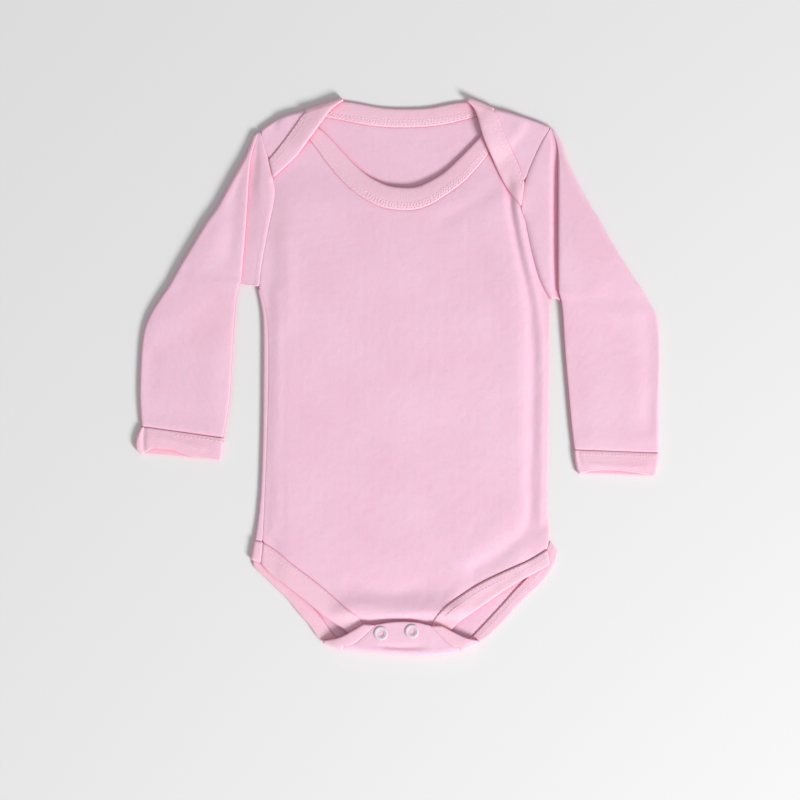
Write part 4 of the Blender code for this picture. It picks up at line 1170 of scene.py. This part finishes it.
# Snaps ------------------------------------------------------------------------------------------
# Two white plastic ring snaps that close the crotch: an open ring pressed through the flap to its
# socket, and a stud on the front's hem held by the post ring beneath it.

SNAP_WHITE = bpy.data.materials.new("white snap plastic")
SNAP_WHITE.use_nodes = True
snap_tree = SNAP_WHITE.node_tree
snap_shader = snap_tree.nodes["Principled BSDF"]
snap_shader.inputs["Transmission Weight"].default_value = 0.15
snap_shader.inputs["IOR"].default_value = 1.35
snap_noise = snap_tree.nodes.new("ShaderNodeTexNoise")
snap_noise.inputs["Scale"].default_value = 900
snap_place = snap_tree.nodes.new("ShaderNodeTexCoord")
snap_tree.links.new(snap_place.outputs["Object"], snap_noise.inputs["Vector"])
snap_rough = calculate(snap_tree, "MULTIPLY_ADD", snap_noise.outputs["Fac"], 0.2, 0.22)
snap_tree.links.new(snap_rough, snap_shader.inputs["Roughness"])
snap_tone = snap_tree.nodes.new("ShaderNodeMix")
snap_tone.data_type = "RGBA"
snap_tone.inputs["A"].default_value = (0.80, 0.66, 0.74, 1)
snap_tone.inputs["B"].default_value = (0.87, 0.76, 0.83, 1)
snap_tree.links.new(snap_noise.outputs["Fac"], snap_tone.inputs["Factor"])
snap_tree.links.new(snap_tone.outputs["Result"], snap_shader.inputs["Base Color"])

RING_LEVEL = 7.55  # middle of a cap ring, which is pressed a little into the flap
CAP_RING = (3.85, 1.05, 0.42)  # radius to the middle of the ring's band, half width, half height
PRONG_RING = (2.5, 0.36, 0.3)  # the same for the ring of prongs inside it
PRONG_DROP = 0.2
SNAP_PLACES = {"left": (-15.4, -178.5), "right": (6.3, -177.1)}


def add_ring(name, place, sizes, level):
    """A round-edged ring, a little flatter than it is wide."""
    radius, half_width, half_height = sizes
    bpy.ops.mesh.primitive_torus_add(
        major_radius=radius / 1000,
        minor_radius=half_width / 1000,
        major_segments=64,
        minor_segments=16,
        location=(place[0] / 1000, place[1] / 1000, level / 1000),
    )
    ring = bpy.context.object
    ring.name = name
    bpy.ops.transform.resize(value=(1, 1, half_height / half_width))
    bpy.ops.object.transform_apply(location=True, rotation=True, scale=True)
    bpy.ops.object.shade_smooth()
    ring.data.materials.append(SNAP_WHITE)
    return ring


for side, place in SNAP_PLACES.items():
    cap_ring = add_ring(f"ring_{side}", place, CAP_RING, RING_LEVEL)
    prongs = add_ring(f"prongs_{side}", place, PRONG_RING, RING_LEVEL - PRONG_DROP)
    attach(cap_ring, "root")
    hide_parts(f"snap_{side}_ring")
    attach(prongs, "root")
    for kind in ("socket", "stud", "post"):
        cad_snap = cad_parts[f"snap_{side}_{kind}"]
        cad_snap.data.materials.clear()
        cad_snap.data.materials.append(SNAP_WHITE)


# Table, light and camera ------------------------------------------------------------------------
# A plain pale table under a large soft light from the lower right, seen from straight above.

bpy.ops.mesh.primitive_plane_add(size=6, location=(0, 0, -0.0002))
floor = bpy.context.object
floor.name = "floor"
table_top = bpy.data.materials.new("pale table")
table_top.use_nodes = True
table_shader = table_top.node_tree.nodes["Principled BSDF"]
table_shader.inputs["Base Color"].default_value = (0.765, 0.765, 0.765, 1)
table_shader.inputs["Roughness"].default_value = 0.9
table_shader.inputs["Specular IOR Level"].default_value = 0.1
floor.data.materials.append(table_top)


def add_light(name, place, size, power):
    lamp = bpy.data.lights.new(name, "AREA")
    lamp.shape = "DISK"
    lamp.size = size
    lamp.energy = power
    obj = bpy.data.objects.new(name, lamp)
    obj.location = place
    direction = -obj.location
    obj.rotation_euler = direction.to_track_quat("-Z", "Y").to_euler()
    bpy.context.scene.collection.objects.link(obj)


add_light("window", (2.3, -2.3, 2.1), 1.3, 168)

sky = bpy.data.worlds.new("studio")
sky.use_nodes = True
sky.node_tree.nodes["Background"].inputs["Color"].default_value = (1, 1, 1, 1)
sky.node_tree.nodes["Background"].inputs["Strength"].default_value = 0.46
bpy.context.scene.world = sky
bpy.context.scene.view_settings.view_transform = "Standard"

camera_data = bpy.data.cameras.new("camera")
camera_data.lens = 100
camera = bpy.data.objects.new("camera", camera_data)
camera.location = (-0.0021, -0.0154, 1.5596)
bpy.context.scene.collection.objects.link(camera)
bpy.context.scene.camera = camera
